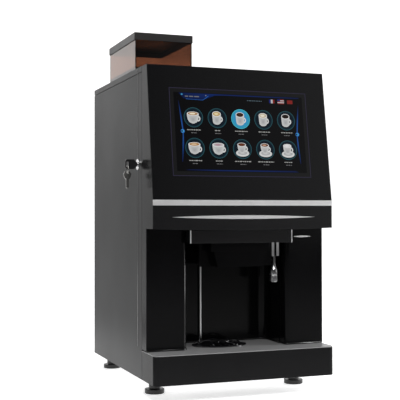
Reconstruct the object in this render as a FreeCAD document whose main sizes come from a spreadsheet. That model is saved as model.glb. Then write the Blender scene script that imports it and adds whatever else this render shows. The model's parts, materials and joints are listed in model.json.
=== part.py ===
import FreeCAD, Part
import math
import operator
import os
import types

import Sketcher

# A countertop bean-to-cup coffee vending machine: a steel cabinet on four levelling feet, a
# full-height front door with a slanted touch screen, a cup alcove with its dispensing head, a
# pull-out drip tray and a bean hopper on top. Millimetres, +Z up, the front faces -Y.
#
# Sizes are worked out from the middle of the cabinet (x = 0), the front plane of the band under
# the screen (y = 0) and the floor (z = 0). Every finished piece is then placed so that the
# document's origin is the middle of the machine's footprint, on the floor.

V = FreeCAD.Vector
doc = FreeCAD.newDocument("CoffeeVendingMachine")
sheet = doc.addObject("Spreadsheet::Sheet", "Sizes")

SIZES = [
    # clearances
    ("fit_gap", 0.2, "Between fixed pieces that sit in each other"),
    ("slip_gap", 0.4, "Between pieces that slip over or past each other"),
    ("slide_gap", 0.5, "Between sliding pieces"),
    ("door_gap", 0.6, "Round the loose sheets inside the cabinet"),
    ("cover_gap", 1.2, "Round the tray cover's tongue and the door's inner panel"),
    ("pipe_gap", 2.0, "Round a pipe or a hose that passes a wall"),
    ("shaft_fit", 0.05, "Radial clearance of a shaft or pin in its bore"),
    # cabinet
    ("machine_width", 470.0, "Width over the side panels"),
    ("cabinet_depth", 478.0, "From the door seam to the rear panel's outer face"),
    ("cabinet_height", 802.0, "From the floor to the top cover"),
    ("base_height", 41.5, "From the floor to the underside of the base pan"),
    ("skin", 1.5, "Sheet steel of the panels"),
    ("pan_sheet", 2.0, "Sheet steel of the base pan and the shelf"),
    ("pan_rim", 24.0, "Height of the base pan's upturned rim"),
    ("rim_start", 20.0, "From the door seam back to the pan's rim"),
    ("cover_drop", 14.0, "Depth of the top cover"),
    ("cover_groove", 2.0, "Shadow gap between the top cover and the panels"),
    ("cover_wall", 2.0, "Wall of the top cover"),
    ("cover_reach", 4.0, "How far the top cover's inner rim reaches down into the panels"),
    ("front_flange", 5.0, "Inward flange at the front of a side panel"),
    ("shelf_height", 409.5, "Underside of the inner shelf"),
    ("shelf_start", 3.0, "From the door seam back to the shelf"),
    ("shelf_rim", 15.0, "Height of the shelf's front flange"),
    ("chute_width", 76.0, "Opening in the shelf for spent coffee"),
    ("screw_head", 4.0, "Radius of a panel screw's head"),
    ("screw_height", 2.4, "Height of a panel screw's head"),
    ("screw_length", 7.0, "Length of a panel screw's shank"),
    ("screw_inset", 10.0, "Panel screws in from the side panels and over the pan's rim"),
    ("screw_drop", 14.0, "Top panel screws under the side panels' top edge"),
    ("louvre_low", 260.0, "Lowest cooling slot in the rear panel"),
    ("louvre_pitch", 12.0, "Distance between the cooling slots"),
    ("louvre_height", 4.0, "Height of a cooling slot"),
    ("louvre_left", -160.0, "Left end of the cooling slots"),
    ("louvre_right", -40.0, "Right end of the cooling slots"),
    ("grille_radius", 50.0, "Radius of the fan's grille"),
    ("grille_pitch", 8.0, "Distance between the grille's slots"),
    ("grille_height", 3.6, "Height of a slot in the grille"),
    # door
    ("seam_depth", 89.5, "From the band's front plane back to the door seam"),
    ("door_open", 1.2, "Open seam between the door and the cabinet"),
    ("door_lift", 2.6, "From the tray cover up to the underside of the door"),
    ("band_bottom", 407.0, "Underside of the band at its ends"),
    ("band_bow", 4.0, "How far the band's lower edge bows down in the middle"),
    ("strip_bottom", 462.3, "Lower edge of the bright strip"),
    ("strip_height", 13.2, "Height of the bright strip"),
    ("strip_proud", 1.2, "How far the strip stands in front of the band"),
    ("fascia_drop", 1.0, "Top edge of the slanted fascia under the top of the cabinet"),
    ("fascia_lean", 48.8, "How far the fascia leans back over its height"),
    ("glass", 4.0, "Thickness of the fascia glass, measured front to back"),
    ("panel_sheet", 3.0, "Moulded thickness of the band"),
    ("liner_sheet", 2.3, "Thickness of the door's inner panel"),
    ("screen_width", 366.0, "Width of the display module"),
    ("screen_height", 218.0, "Height of the display module"),
    ("screen_depth", 24.0, "Depth of the display module"),
    ("screen_start", 57.0, "Along the slope from the strip to the display module"),
    ("door_flange", 12.0, "Width of the door's inward flanges"),
    ("catch_drop", 36.0, "Lock axis down to the tongue of the door's catch"),
    # pillars, hood and bright trims
    ("pillar_face", 53.5, "Front face of the pillars"),
    ("alcove_half", 131.0, "Half the alcove's width"),
    ("pillar_round", 11.0, "Rounded inner front corner of a pillar"),
    ("moulding", 2.5, "Wall of the moulded covers"),
    ("hood_front", 21.5, "Front plane of the hood"),
    ("hood_half", 135.0, "Half the hood's width"),
    ("hood_bottom", 371.5, "Lower edge of the hood"),
    ("trim_width", 2.6, "Width of the hood's bright edge strips"),
    ("trim_proud", 0.9, "How far the bright trims stand out"),
    ("lens_half", 188.0, "Half the length of the band's lens-shaped trim"),
    ("lens_rise", 4.5, "Half the height of the band's lens-shaped trim"),
    ("lens_height", 434.5, "Middle height of the band's lens-shaped trim"),
    ("badge_half", 25.0, "Half the length of the pillar's lens-shaped trim"),
    ("badge_rise", 2.3, "Half the height of the pillar's lens-shaped trim"),
    ("badge_x", 178.0, "Middle of the pillar's lens-shaped trim"),
    ("badge_height", 385.0, "Height of the pillar's lens-shaped trim"),
    # alcove and dispensing head
    ("alcove_back", 176.0, "Front face of the alcove's back wall"),
    ("alcove_round", 22.0, "Inner rear corners of the alcove"),
    ("alcove_top", 406.5, "Underside of the alcove's ceiling"),
    ("head_front", 61.0, "Front face of the head housing"),
    ("head_half", 97.0, "Half the width of the head housing at the front"),
    ("head_tail", 44.0, "Half the width of the head housing at the back wall"),
    ("head_bottom", 313.0, "Underside of the head housing and spout"),
    ("spout_half", 69.0, "Half the width of the spout body"),
    ("spout_tip", 59.0, "Half the width of the spout body at its bottom"),
    ("spout_shoulder", 350.5, "Height where the spout body starts to taper"),
    ("spout_top", 398.0, "Top of the spout body"),
    ("outlet_bore", 5.0, "Radius of a coffee outlet"),
    ("outlet_pitch", 44.0, "Distance between the two coffee outlets"),
    ("plate_front", 30.6, "Front face of the head's front plate"),
    ("plate_half", 78.0, "Half the width of the head's front plate"),
    ("rod_radius", 4.4, "Bright rod at the alcove's back wall"),
    ("rod_x", -54.0, "Where the bright rod stands"),
    ("nozzle_x", 110.0, "Hot-water nozzle, from the middle"),
    ("nozzle_y", 77.0, "Hot-water nozzle, from the band's plane"),
    ("nozzle_block", 20.0, "Side of the nozzle's square block"),
    ("nozzle_shoulder", 336.0, "Underside of the nozzle's block"),
    ("nozzle_tip", 270.0, "Lower end of the nozzle"),
    ("nozzle_radius", 11.8, "Radius of the nozzle's sleeve"),
    ("nozzle_sleeve", 25.0, "Length of the nozzle's sleeve"),
    ("nozzle_flare", 22.0, "Length of the flare between neck and sleeve"),
    ("nozzle_neck", 5.4, "Radius of the nozzle's neck"),
    ("nozzle_bore", 3.0, "Radius of the water way"),
    ("hose_radius", 4.0, "Outer radius of the hot-water hose"),
    ("hose_height", 360.0, "Height at which the hose runs"),
    ("hose_x", 30.0, "Where the hose passes the alcove's wall"),
    ("hose_turn_x", 58.0, "Where the hose ends its bend, across"),
    ("hose_turn_y", 48.0, "Where the hose starts its bend, behind the nozzle"),
    # drip tray
    ("tray_reach", 11.6, "How far the tray stands in front of the band"),
    ("tray_top", 112.4, "Top of the tray cover"),
    ("tray_cover_sheet", 2.0, "Thickness of the tray cover"),
    ("tray_wall", 2.5, "Wall of the tray housing"),
    ("tray_round", 14.0, "Rounded front corners of the tray"),
    ("tray_lift", 2.6, "Height of the tray housing's floor over its lower edge"),
    ("runner_width", 22.0, "Width of a runner under the tray"),
    ("runner_x", 150.0, "Inner edge of a runner"),
    ("runner_set", 10.0, "From the tray's front wall back to the runners' tips"),
    ("pan_half", 116.0, "Half the drip pan's width"),
    ("pan_wall", 2.0, "Wall of the drip pan"),
    ("grid_x", -24.6, "Middle of the cup grid, across"),
    ("grid_y", 114.5, "Middle of the cup grid, front to back"),
    ("grid_long", 71.4, "Half the long axis of the cup grid"),
    ("grid_short", 48.5, "Half the short axis of the cup grid"),
    ("grid_rim", 6.0, "Width of the grid's rim"),
    ("grid_rise", 2.4, "Height of the grid's rim over the tray cover"),
    ("grid_vane", 5.4, "Height of the grid's vanes over the tray cover"),
    ("grid_drop", 8.0, "How far the grid's skirt reaches down into the tray"),
    ("grid_sink", 5.0, "How far the grid's vanes reach below the tray's top"),
    ("grid_wall", 2.0, "Wall of the grid's skirt"),
    ("grid_hub", 11.0, "Radius of the grid's hub"),
    # feet
    ("foot_inset", 45.0, "Foot centre in from the side of the cabinet"),
    ("foot_front", 41.1, "Front feet, behind the door seam"),
    ("foot_rear", 30.8, "Rear feet, in front of the rear panel's face"),
    ("foot_radius", 24.75, "Radius of a foot's pad"),
    ("foot_pad", 11.5, "Height of a foot's pad"),
    ("foot_edge", 1.2, "Bevelled edge of a foot's pad"),
    ("foot_nut", 14.5, "Radius of the nut on a foot"),
    ("foot_nut_top", 26.0, "Top of the nut on a foot"),
    ("stud_radius", 5.0, "Radius of a foot's stud"),
    ("stud_top", 66.0, "Top of a foot's stud"),
    ("boss_radius", 12.0, "Radius of the base pan's threaded bosses"),
    ("boss_height", 14.0, "Height of the bosses"),
    # lock and keys
    ("lock_inset", 25.5, "Lock axis, behind the door seam"),
    ("lock_z", 564.0, "Lock axis, over the floor"),
    ("lock_flange", 13.5, "Radius of the lock's bezel"),
    ("lock_proud", 3.5, "How far the bezel stands out"),
    ("lock_body", 9.5, "Radius of the lock's barrel"),
    ("lock_length", 22.0, "Length of the barrel behind the bezel"),
    ("plug_radius", 6.0, "Radius of the lock's plug"),
    ("cam_length", 22.0, "Length of the cam"),
    ("cam_width", 10.0, "Width of the cam"),
    ("cam_sheet", 2.5, "Thickness of the cam"),
    ("key_length", 30.0, "Length of the key's bow"),
    ("key_height", 24.0, "Height of the key's bow"),
    ("key_sheet", 4.0, "Thickness of the key's bow"),
    ("blade_height", 7.0, "Height of the key's blade"),
    ("blade_sheet", 2.0, "Thickness of the key's blade"),
    ("ring_radius", 8.0, "Radius of the key ring"),
    ("ring_wire", 0.9, "Radius of the ring's wire"),
    ("spare_half", 10.0, "Half the width of the spare key's head"),
    ("spare_length", 33.0, "Length of the spare key's blade under its head"),
    # hopper
    ("hopper_x", -124.0, "Middle of the bean hopper, across"),
    ("hopper_y", 383.8, "Middle of the bean hopper, front to back"),
    ("hopper_width", 161.6, "Width of the hopper's lid"),
    ("hopper_length", 261.6, "Front-to-back length of the hopper's lid"),
    ("hopper_rise", 115.4, "From the top cover up to the top of the hopper's lid"),
    ("lid_height", 19.6, "Height of the hopper's lid"),
    ("lid_wall", 2.0, "Wall of the hopper's lid"),
    ("hopper_wall", 3.0, "Wall of the hopper"),
    ("funnel_height", 26.0, "Height of the hopper's sloping floor"),
    ("neck_half", 31.0, "Half the width of the hopper's neck"),
    ("neck_bore", 25.0, "Radius of the bean way"),
    ("neck_drop", 32.0, "From the top cover down to the neck's lower end"),
    ("neck_gap", 0.6, "Round the neck in the top cover"),
    ("gate_sheet", 2.0, "Thickness of the bean gate"),
    ("gate_lap", 1.5, "How far the closed gate laps over the bean way"),
    ("gate_lift", 6.0, "Gate over the neck's lower end"),
    ("gate_reach", 58.0, "Length of the open gate in front of the neck"),
    ("gate_grip", 16.0, "Half the width of the gate's grip"),
    # hinges
    ("hinge_low", 190.0, "Lower hinge, over the floor"),
    ("hinge_high", 660.0, "Upper hinge, over the floor"),
    ("hinge_leaf", 30.0, "Length and width of a hinge's leaf"),
    ("knuckle", 4.5, "Radius of a hinge's knuckle"),
    ("hinge_pin", 2.5, "Radius of a hinge's pin"),
    ("leaf_sheet", 2.0, "Thickness of a hinge's leaf"),
    # works inside the cabinet
    ("brewer_y", 210.0, "Brewing cylinder, from the band's plane"),
    ("brewer_half", 40.0, "Half the width of the brewer's block"),
    ("brewer_base", 430.0, "Underside of the brewer"),
    ("brewer_top", 600.0, "Top of the brewer"),
    ("piston_radius", 22.7, "Radius of the brewing piston"),
    ("canister_first", 5.0, "Middle of the first powder canister, across"),
    ("canister_pitch", 80.0, "Distance between powder canisters"),
    ("canister_half", 36.0, "Half the width of a powder canister"),
    ("canister_base", 560.0, "Underside of the powder canisters"),
    ("canister_drop", 40.0, "Top of the powder canisters under the top of the cabinet"),
    ("canister_wall", 2.0, "Wall of a powder canister"),
    ("canister_front", 300.0, "Front wall of the powder canisters"),
    ("canister_back", 520.0, "Back wall of the powder canisters"),
    ("auger_radius", 14.0, "Radius of a dosing auger"),
    ("auger_rise", 19.0, "Auger axis over the canister's underside"),
    ("bowl_x", 85.0, "Middle of the mixing bowl, across"),
    ("bowl_half", 108.0, "Half the width of the mixing bowl"),
    ("bowl_depth", 32.0, "Front-to-back depth of the mixing bowl"),
    ("bowl_set", 18.0, "Middle of the mixing bowl in front of the canisters"),
    ("bowl_outlet", 7.0, "Outer radius of the mixing bowl's outlet"),
    ("whipper_height", 470.0, "Axis of the whipper"),
    ("whipper_radius", 18.0, "Radius of the whipper's impeller"),
    ("grinder_radius", 55.0, "Radius of the grinder's housing"),
    ("grinder_length", 109.0, "Height of the grinder's housing"),
    ("grinder_gap", 1.0, "From the neck down to the grinder"),
    ("throat_half", 16.0, "Half the width of the grinder's throat"),
    ("motor_length", 100.0, "Height of the grinder's motor"),
    ("bin_half", 80.0, "Half the width of the waste bin"),
    ("bin_length", 220.0, "Front-to-back length of the waste bin"),
    ("bin_wall", 2.0, "Wall of the waste bin"),
    ("bin_round", 12.0, "Rounded corners of the waste bin"),
    ("bin_set", 20.0, "From the alcove's back wall to the waste bin"),
    ("bin_drop", 40.0, "Top of the waste bin under the shelf"),
    ("burr_radius", 38.0, "Radius of the grinding burr"),
    ("boiler_x", 70.0, "Middle of the boiler, across"),
    ("boiler_y", 300.0, "Middle of the boiler, front to back"),
    ("boiler_radius", 62.0, "Radius of the boiler"),
    ("boiler_base", 170.0, "Underside of the boiler"),
    ("boiler_top", 330.0, "Top of the boiler"),
    ("fitting_reach", 60.0, "Hot-water fitting in front of the boiler's axis"),
    ("inlet_x", -150.0, "Mains inlet, across"),
    ("inlet_z", 90.0, "Mains socket, over the floor"),
    ("inlet_half", 18.0, "Half the side of the inlet's body"),
    ("inlet_depth", 32.0, "Depth of the inlet's body"),
    ("socket_half", 12.25, "Half the width of the mains socket"),
    ("socket_rise", 8.5, "Half the height of the mains socket"),
    ("rocker_z", 127.0, "Mains switch, over the floor"),
    ("rocker_half", 6.5, "Half the width of the switch's rocker"),
    ("rocker_rise", 10.0, "Half the height of the switch's rocker"),
    ("water_x", 180.0, "Water connection, across"),
    ("water_z", 112.0, "Water connection, over the floor"),
    ("water_radius", 13.2, "Radius of the water connection"),
    ("water_reach", 18.0, "How far the water connection stands out"),
    ("fan_x", 85.0, "Fan axis, across"),
    ("fan_z", 660.0, "Fan axis, over the floor"),
    ("fan_half", 60.0, "Half the side of the fan's frame"),
    ("fan_depth", 25.0, "Depth of the fan's frame"),
    ("fan_rotor", 54.0, "Radius of the fan's rotor"),
    ("fan_hub", 20.0, "Radius of the fan's hub"),
    ("fan_pin", 2.5, "Radius of the pin that the rotor spins on"),
    ("box_left", -70.0, "Left side of the electrical box"),
    ("box_right", 60.0, "Right side of the electrical box"),
    ("box_depth", 100.0, "Depth of the electrical box"),
    ("box_height", 62.0, "Height of the electrical box"),
    ("back_room", 30.0, "Free space between the rear panel and the pump and electrical box"),
]

OPERATIONS = {"+": operator.add, "-": operator.sub, "*": operator.mul, "/": operator.truediv}


class Dim:
    # A length with both its value and the spreadsheet expression that it comes from.
    def __init__(self, value, text):
        self.value = value
        self.text = text

    def __add__(self, other):
        return combined(self, "+", other)

    def __radd__(self, other):
        return combined(other, "+", self)

    def __sub__(self, other):
        return combined(self, "-", other)

    def __rsub__(self, other):
        return combined(other, "-", self)

    def __mul__(self, other):
        return combined(self, "*", other)

    def __rmul__(self, other):
        return combined(other, "*", self)

    def __truediv__(self, other):
        return combined(self, "/", other)

    def __neg__(self):
        return combined(0, "-", self)


def dim(size):
    if isinstance(size, Dim):
        return size
    return Dim(float(size), f"({float(size)})")


def combined(first, sign, second):
    first = dim(first)
    second = dim(second)
    value = OPERATIONS[sign](first.value, second.value)
    return Dim(value, f"({first.text} {sign} {second.text})")


def root(size):
    return Dim(math.sqrt(size.value), f"sqrt({size.text})")


S = types.SimpleNamespace()
for row, (alias, number, note) in enumerate(SIZES, start=1):
    sheet.set(f"A{row}", note)
    sheet.set(f"B{row}", str(number))
    sheet.setAlias(f"B{row}", alias)
    setattr(S, alias, Dim(number, f"Sizes.{alias}"))
doc.recompute()

# Planes and edges that many pieces share.
half = S.machine_width / 2
seam = S.seam_depth
door_back = seam - S.door_open
door_bottom = S.tray_top + S.door_lift
back = seam + S.cabinet_depth
panel_top = S.cabinet_height - S.cover_drop - S.cover_groove
cover_bottom = S.cabinet_height - S.cover_drop
fascia_top = S.cabinet_height - S.fascia_drop
strip_top = S.strip_bottom + S.strip_height
hood_top = S.band_bottom - S.band_bow - 1.5 * S.fit_gap
inner_floor = S.base_height + S.pan_sheet
shelf_top = S.shelf_height + S.pan_sheet
tray_front = -S.tray_reach
tray_floor = S.base_height + S.tray_lift
hinge_x = half + S.knuckle + 1
hinge_y = seam - S.door_open / 2
foot_x = half - S.foot_inset
front_foot_y = seam + S.foot_front
rear_foot_y = back - S.foot_rear
lock_y = seam + S.lock_inset
hopper_top = S.cabinet_height + S.hopper_rise
neck_bottom = S.cabinet_height - S.neck_drop
canister_top = S.cabinet_height - S.canister_drop
bowl_y = S.canister_front - S.bowl_set

# The gate slides in the neck below the cabinet's top cover, and the grinder hangs under it.
gate_half = S.neck_bore + S.gate_lap
gate_z = neck_bottom + S.gate_lift
grinder_top = neck_bottom - S.grinder_gap
grinder_base = grinder_top - S.grinder_length

# The ring hangs in the slot at the end of the key's bow, and the spare key hangs on the ring.
key_end = -half - S.lock_proud - 1 - S.key_length
ring_x = key_end + 5.7
ring_z = S.lock_z - 6 + S.ring_wire + 0.7

# The overall box runs from the spare key to the hinges and from the tray to the water connection.
origin_x = -(ring_x - S.spare_half + hinge_x + S.knuckle) / 2
origin_y = -(tray_front + back + S.water_reach) / 2

AXES = {
    "x": FreeCAD.Rotation(V(0, 1, 0), 90),
    "y": FreeCAD.Rotation(V(1, 0, 0), -90),
    "z": FreeCAD.Rotation(),
}
PLANES = {"xy": "XY_Plane", "xz": "XZ_Plane", "yz": "YZ_Plane"}
FULL_TURN = 360
seats = {}
nodes = {}
cutters = []


def bind(item, prop, size):
    item.setExpression(prop, dim(size).text)


def seat(item, x, y, z):
    seats[item.Name] = (x, y, z)
    bind(item, "Placement.Base.x", x)
    bind(item, "Placement.Base.y", y)
    bind(item, "Placement.Base.z", z)
    return item


def turn(item, axis, degrees):
    item.Placement.Rotation = FreeCAD.Rotation(axis, degrees)
    return item


def node(label, item):
    x, y, z = seats.get(item.Name, (0, 0, 0))
    seat(item, x + origin_x, y + origin_y, z)
    item.Label = label
    nodes[label] = item
    return item


# Part primitives and booleans.


def box(name, xs, ys, zs):
    item = doc.addObject("Part::Box", name)
    for prop, (low, high) in zip(("Length", "Width", "Height"), (xs, ys, zs)):
        bind(item, prop, dim(high) - low)
    return seat(item, xs[0], ys[0], zs[0])


def ordered(first, second):
    return (first, second) if first.value < second.value else (second, first)


def cylinder(name, radius, start, length, axis="z"):
    item = doc.addObject("Part::Cylinder", name)
    item.Placement = FreeCAD.Placement(V(), AXES[axis])
    bind(item, "Radius", radius)
    bind(item, "Height", length)
    return seat(item, *start)


def cone(name, low_radius, high_radius, start, length):
    item = doc.addObject("Part::Cone", name)
    bind(item, "Radius1", low_radius)
    bind(item, "Radius2", high_radius)
    bind(item, "Height", length)
    return seat(item, *start)


def oval(name, long_radius, short_radius, start, height):
    curve = doc.addObject("Part::Ellipse", name + "Curve")
    bind(curve, "MajorRadius", long_radius)
    bind(curve, "MinorRadius", short_radius)
    item = doc.addObject("Part::Extrusion", name)
    item.Base = curve
    item.Dir = V(0, 0, 1)
    item.Solid = True
    bind(item, "LengthFwd", height)
    return seat(item, *start)


def fuse(name, *items):
    item = doc.addObject("Part::MultiFuse", name)
    item.Shapes = list(items)
    item.Refine = True
    return item


def cut(name, base, *tools):
    item = doc.addObject("Part::Cut", name)
    item.Base = base
    item.Tool = tools[0] if len(tools) == 1 else fuse(name + "Tools", *tools)
    item.Refine = True
    return item


def carrier(name, item):
    # Carries a piece drawn about the origin, so that it can be turned and then seated.
    holder = doc.addObject("Part::Compound", name)
    holder.Links = [item]
    return holder


def common(name, base, tool):
    item = doc.addObject("Part::Common", name)
    item.Base = base
    item.Tool = tool
    return item


# Sketches: an outline is a list of corners (u, v) or (u, v, rounding), the last kind only where
# two edges along the sketch's axes meet; a hole is (u, v, radius) in a list of its own.


def direction(start, end):
    du = end[0].value - start[0].value
    dv = end[1].value - start[1].value
    length = math.hypot(du, dv)
    return du / length, dv / length


def along(corner, way, distance):
    return corner[0] + round(way[0]) * distance, corner[1] + round(way[1]) * distance


def edge_points(corners):
    corners = [(dim(c[0]), dim(c[1]), c[2] if len(c) == 3 else None) for c in corners]
    edges = []
    for index, corner in enumerate(corners):
        before = direction(corners[index - 1], corner)
        after = direction(corner, corners[(index + 1) % len(corners)])
        if corner[2] is None:
            edges.append((corner[:2], corner[:2], None))
            continue
        start = along(corner, before, -corner[2])
        end = along(corner, after, corner[2])
        centre = along(start, after, corner[2])
        left_turn = before[0] * after[1] - before[1] * after[0] > 0
        edges.append((start, end, (centre, corner[2], left_turn)))
    return edges


def point(pair):
    return V(pair[0].value, pair[1].value, 0)


def fix_point(sketch, geometry, end, pair):
    for kind, size in zip(("DistanceX", "DistanceY"), pair):
        rule = Sketcher.Constraint(kind, -1, 1, geometry, end, size.value)
        sketch.setExpression(f"Constraints[{sketch.addConstraint(rule)}]", size.text)


def fix_radius(sketch, geometry, radius):
    rule = Sketcher.Constraint("Radius", geometry, dim(radius).value)
    sketch.setExpression(f"Constraints[{sketch.addConstraint(rule)}]", dim(radius).text)


def add_arc(sketch, start, end, centre, radius, left_turn):
    angles = [math.atan2((p[1] - centre[1]).value, (p[0] - centre[0]).value) for p in (start, end)]
    if not left_turn:
        angles.reverse()
    circle = Part.Circle(point(centre), V(0, 0, 1), dim(radius).value)
    arc = sketch.addGeometry(Part.ArcOfCircle(circle, *angles), False)
    first, last = (1, 2) if left_turn else (2, 1)
    fix_radius(sketch, arc, radius)
    return arc, first, last


def add_loop(sketch, corners):
    edges = edge_points(corners)
    pieces = []
    for index, (start, end, rounding) in enumerate(edges):
        following = edges[(index + 1) % len(edges)][0]
        if rounding is not None:
            pieces.append(add_arc(sketch, start, end, *rounding) + (start,))
        line = sketch.addGeometry(Part.LineSegment(point(end), point(following)), False)
        pieces.append((line, 1, 2, end))
    for index, (geometry, first, last, start) in enumerate(pieces):
        after = pieces[(index + 1) % len(pieces)]
        sketch.addConstraint(Sketcher.Constraint("Coincident", geometry, last, after[0], after[1]))
        fix_point(sketch, geometry, first, start)


def add_hole(sketch, u, v, radius):
    pair = (dim(u), dim(v))
    circle = Part.Circle(point(pair), V(0, 0, 1), dim(radius).value)
    geometry = sketch.addGeometry(circle, False)
    fix_point(sketch, geometry, 3, pair)
    fix_radius(sketch, geometry, radius)


def new_sketch(body, plane, offset):
    sketch = body.newObject("Sketcher::SketchObject", "Outline")
    support = next(f for f in body.Origin.OriginFeatures if f.Role == PLANES[plane])
    sketch.AttachmentSupport = [(support, "")]
    sketch.MapMode = "FlatFace"
    bind(sketch, "AttachmentOffset.Base.z", offset)
    return sketch


def sketched(body, kind, plane, low, high, loops, holes=()):
    # The XZ plane's normal points to the front, so an outline there starts at its high end.
    sketch = new_sketch(body, plane, -dim(high) if plane == "xz" else low)
    for corners in loops:
        add_loop(sketch, corners)
    for hole in holes:
        add_hole(sketch, *hole)
    feature = body.newObject(f"PartDesign::{kind}", kind)
    feature.Profile = sketch
    bind(feature, "Length", dim(high) - low)
    if kind == "Pocket":
        feature.Reversed = True
        cutters.append((body, feature))
    return feature


def pad(body, plane, low, high, loops, holes=()):
    return sketched(body, "Pad", plane, low, high, loops, holes)


def pocket(body, plane, low, high, loops, holes=()):
    return sketched(body, "Pocket", plane, low, high, loops, holes)


def new_body(name):
    return doc.addObject("PartDesign::Body", name)


def padded(name, plane, low, high, loops, holes=()):
    body = new_body(name)
    pad(body, plane, low, high, loops, holes)
    return body


def turned(name, corners):
    # A profile of (radius, height) corners turned about the body's own Z axis.
    body = new_body(name)
    sketch = new_sketch(body, "xz", 0)
    add_loop(sketch, corners)
    feature = body.newObject("PartDesign::Revolution", "Turned")
    feature.Profile = sketch
    feature.ReferenceAxis = (sketch, ["V_Axis"])
    feature.Angle = FULL_TURN
    return body


def rectangle(u0, u1, v0, v1):
    return [(u0, v0), (u1, v0), (u1, v1), (u0, v1)]


def rounded_rectangle(u0, u1, v0, v1, radius):
    return [(u0, v0, radius), (u1, v0, radius), (u1, v1, radius), (u0, v1, radius)]


def lens(body, centre_x, centre_z, half_length, rise, low, high):
    # A pointed lens: two equal arcs that meet at its ends.
    sketch = new_sketch(body, "xz", -dim(high))
    radius = (half_length * half_length + rise * rise) / (2 * rise)
    left = (centre_x - half_length, dim(centre_z))
    right = (centre_x + half_length, dim(centre_z))
    over = (dim(centre_x), centre_z - (radius - rise))
    under = (dim(centre_x), centre_z + (radius - rise))
    upper = add_arc(sketch, right, left, over, radius, True)
    lower = add_arc(sketch, left, right, under, radius, True)
    sketch.addConstraint(Sketcher.Constraint("Coincident", upper[0], 2, lower[0], 1))
    sketch.addConstraint(Sketcher.Constraint("Coincident", lower[0], 2, upper[0], 1))
    fix_point(sketch, upper[0], 1, right)
    fix_point(sketch, lower[0], 1, left)
    feature = body.newObject("PartDesign::Pad", "Pad")
    feature.Profile = sketch
    bind(feature, "Length", dim(high) - low)
    return body


# Cabinet shell.


def base_pan():
    inner = half - S.skin - S.door_gap
    rear = back - S.skin - S.door_gap
    front = seam + S.skin + S.door_gap
    runner_end = S.runner_x + S.runner_width
    runner_tip = tray_front + S.tray_wall + S.runner_set
    pan = new_body("BasePan")
    outline = [
        (-inner, front), (-runner_end, front), (-runner_end, runner_tip), (-S.runner_x, runner_tip),
        (-S.runner_x, front), (S.runner_x, front), (S.runner_x, runner_tip), (runner_end, runner_tip),
        (runner_end, front), (inner, front), (inner, rear), (-inner, rear),
    ]
    feet = [(side * foot_x, y) for side in (-1, 1) for y in (front_foot_y, rear_foot_y)]
    bore = S.stud_radius + S.shaft_fit
    pad(pan, "xy", S.base_height, inner_floor, [outline], [(x, y, bore) for x, y in feet])
    sheet = S.pan_sheet
    rim_start = seam + S.rim_start
    rim = [
        (-inner, rim_start), (-inner, rear), (inner, rear), (inner, rim_start),
        (inner - sheet, rim_start), (inner - sheet, rear - sheet),
        (-inner + sheet, rear - sheet), (-inner + sheet, rim_start),
    ]
    pad(pan, "xy", inner_floor, inner_floor + S.pan_rim, [rim])
    for x, y in feet:
        rings = [(x, y, S.boss_radius), (x, y, bore)]
        pad(pan, "xy", inner_floor, inner_floor + S.boss_height, [], rings)
    return node("base_pan", pan)


def side_panel(label, side):
    outer = side * half
    inner = side * (half - S.skin)
    flange = side * (half - S.front_flange)
    outline = [
        (outer, seam), (flange, seam), (flange, seam + S.skin), (inner, seam + S.skin),
        (inner, back), (outer, back),
    ]
    panel = padded(label, "xy", S.base_height, panel_top, [outline])
    if side < 0:
        hole = (lock_y, S.lock_z, S.lock_body + S.fit_gap)
        pocket(panel, "yz", -half, -half + S.skin, [], [hole])
    return node(label, panel)


def screw_places():
    edge = half - S.skin - S.screw_inset
    low = inner_floor + S.pan_rim + S.screw_inset
    high = panel_top - S.screw_drop
    middle = (low + high) / 2
    return [(side * edge, z) for side in (-1, 1) for z in (low, middle, high)]


def rear_panel():
    edge = half - S.skin - S.fit_gap
    inside = back - S.skin
    outline = rectangle(-edge, edge, S.base_height, panel_top)
    panel = padded("RearPanel", "xz", inside, back, [outline])
    holes = [(x, z, S.screw_head / 2 + S.fit_gap) for x, z in screw_places()]
    holes.append((S.water_x, S.water_z, S.water_radius + S.slip_gap))
    reach = S.inlet_half + S.slip_gap
    cuts = [rectangle(S.inlet_x - reach, S.inlet_x + reach, S.inlet_z - reach, inlet_top + S.slip_gap)]
    for step in range(-6, 7):
        rise = step * S.grille_pitch
        reach = root(S.grille_radius * S.grille_radius - rise * rise)
        low = S.fan_z + rise - S.grille_height / 2
        cuts.append(rectangle(S.fan_x - reach, S.fan_x + reach, low, low + S.grille_height))
    for step in range(8):
        low = S.louvre_low + step * S.louvre_pitch
        cuts.append(rectangle(S.louvre_left, S.louvre_right, low, low + S.louvre_height))
    pocket(panel, "xz", inside, back, cuts, holes)
    return node("rear_panel", panel)


def top_cover():
    cover = padded("TopCover", "xy", cover_bottom, S.cabinet_height, [rectangle(-half, half, seam, back)])
    wall = S.cover_wall
    under = S.cabinet_height - wall
    inside = rectangle(-half + wall, half - wall, seam + wall, back - wall)
    pocket(cover, "xy", cover_bottom, under, [inside])
    rim = wall + S.skin
    hollow = rectangle(-half + rim, half - rim, seam + rim, back - rim)
    pad(cover, "xy", panel_top - S.cover_reach, under, [inside, hollow])
    gap = S.neck_half + S.neck_gap
    opening = rectangle(S.hopper_x - gap, S.hopper_x + gap, S.hopper_y - gap, S.hopper_y + gap)
    pocket(cover, "xy", under - 1, S.cabinet_height, [opening])
    return node("top_cover", cover)


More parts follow.
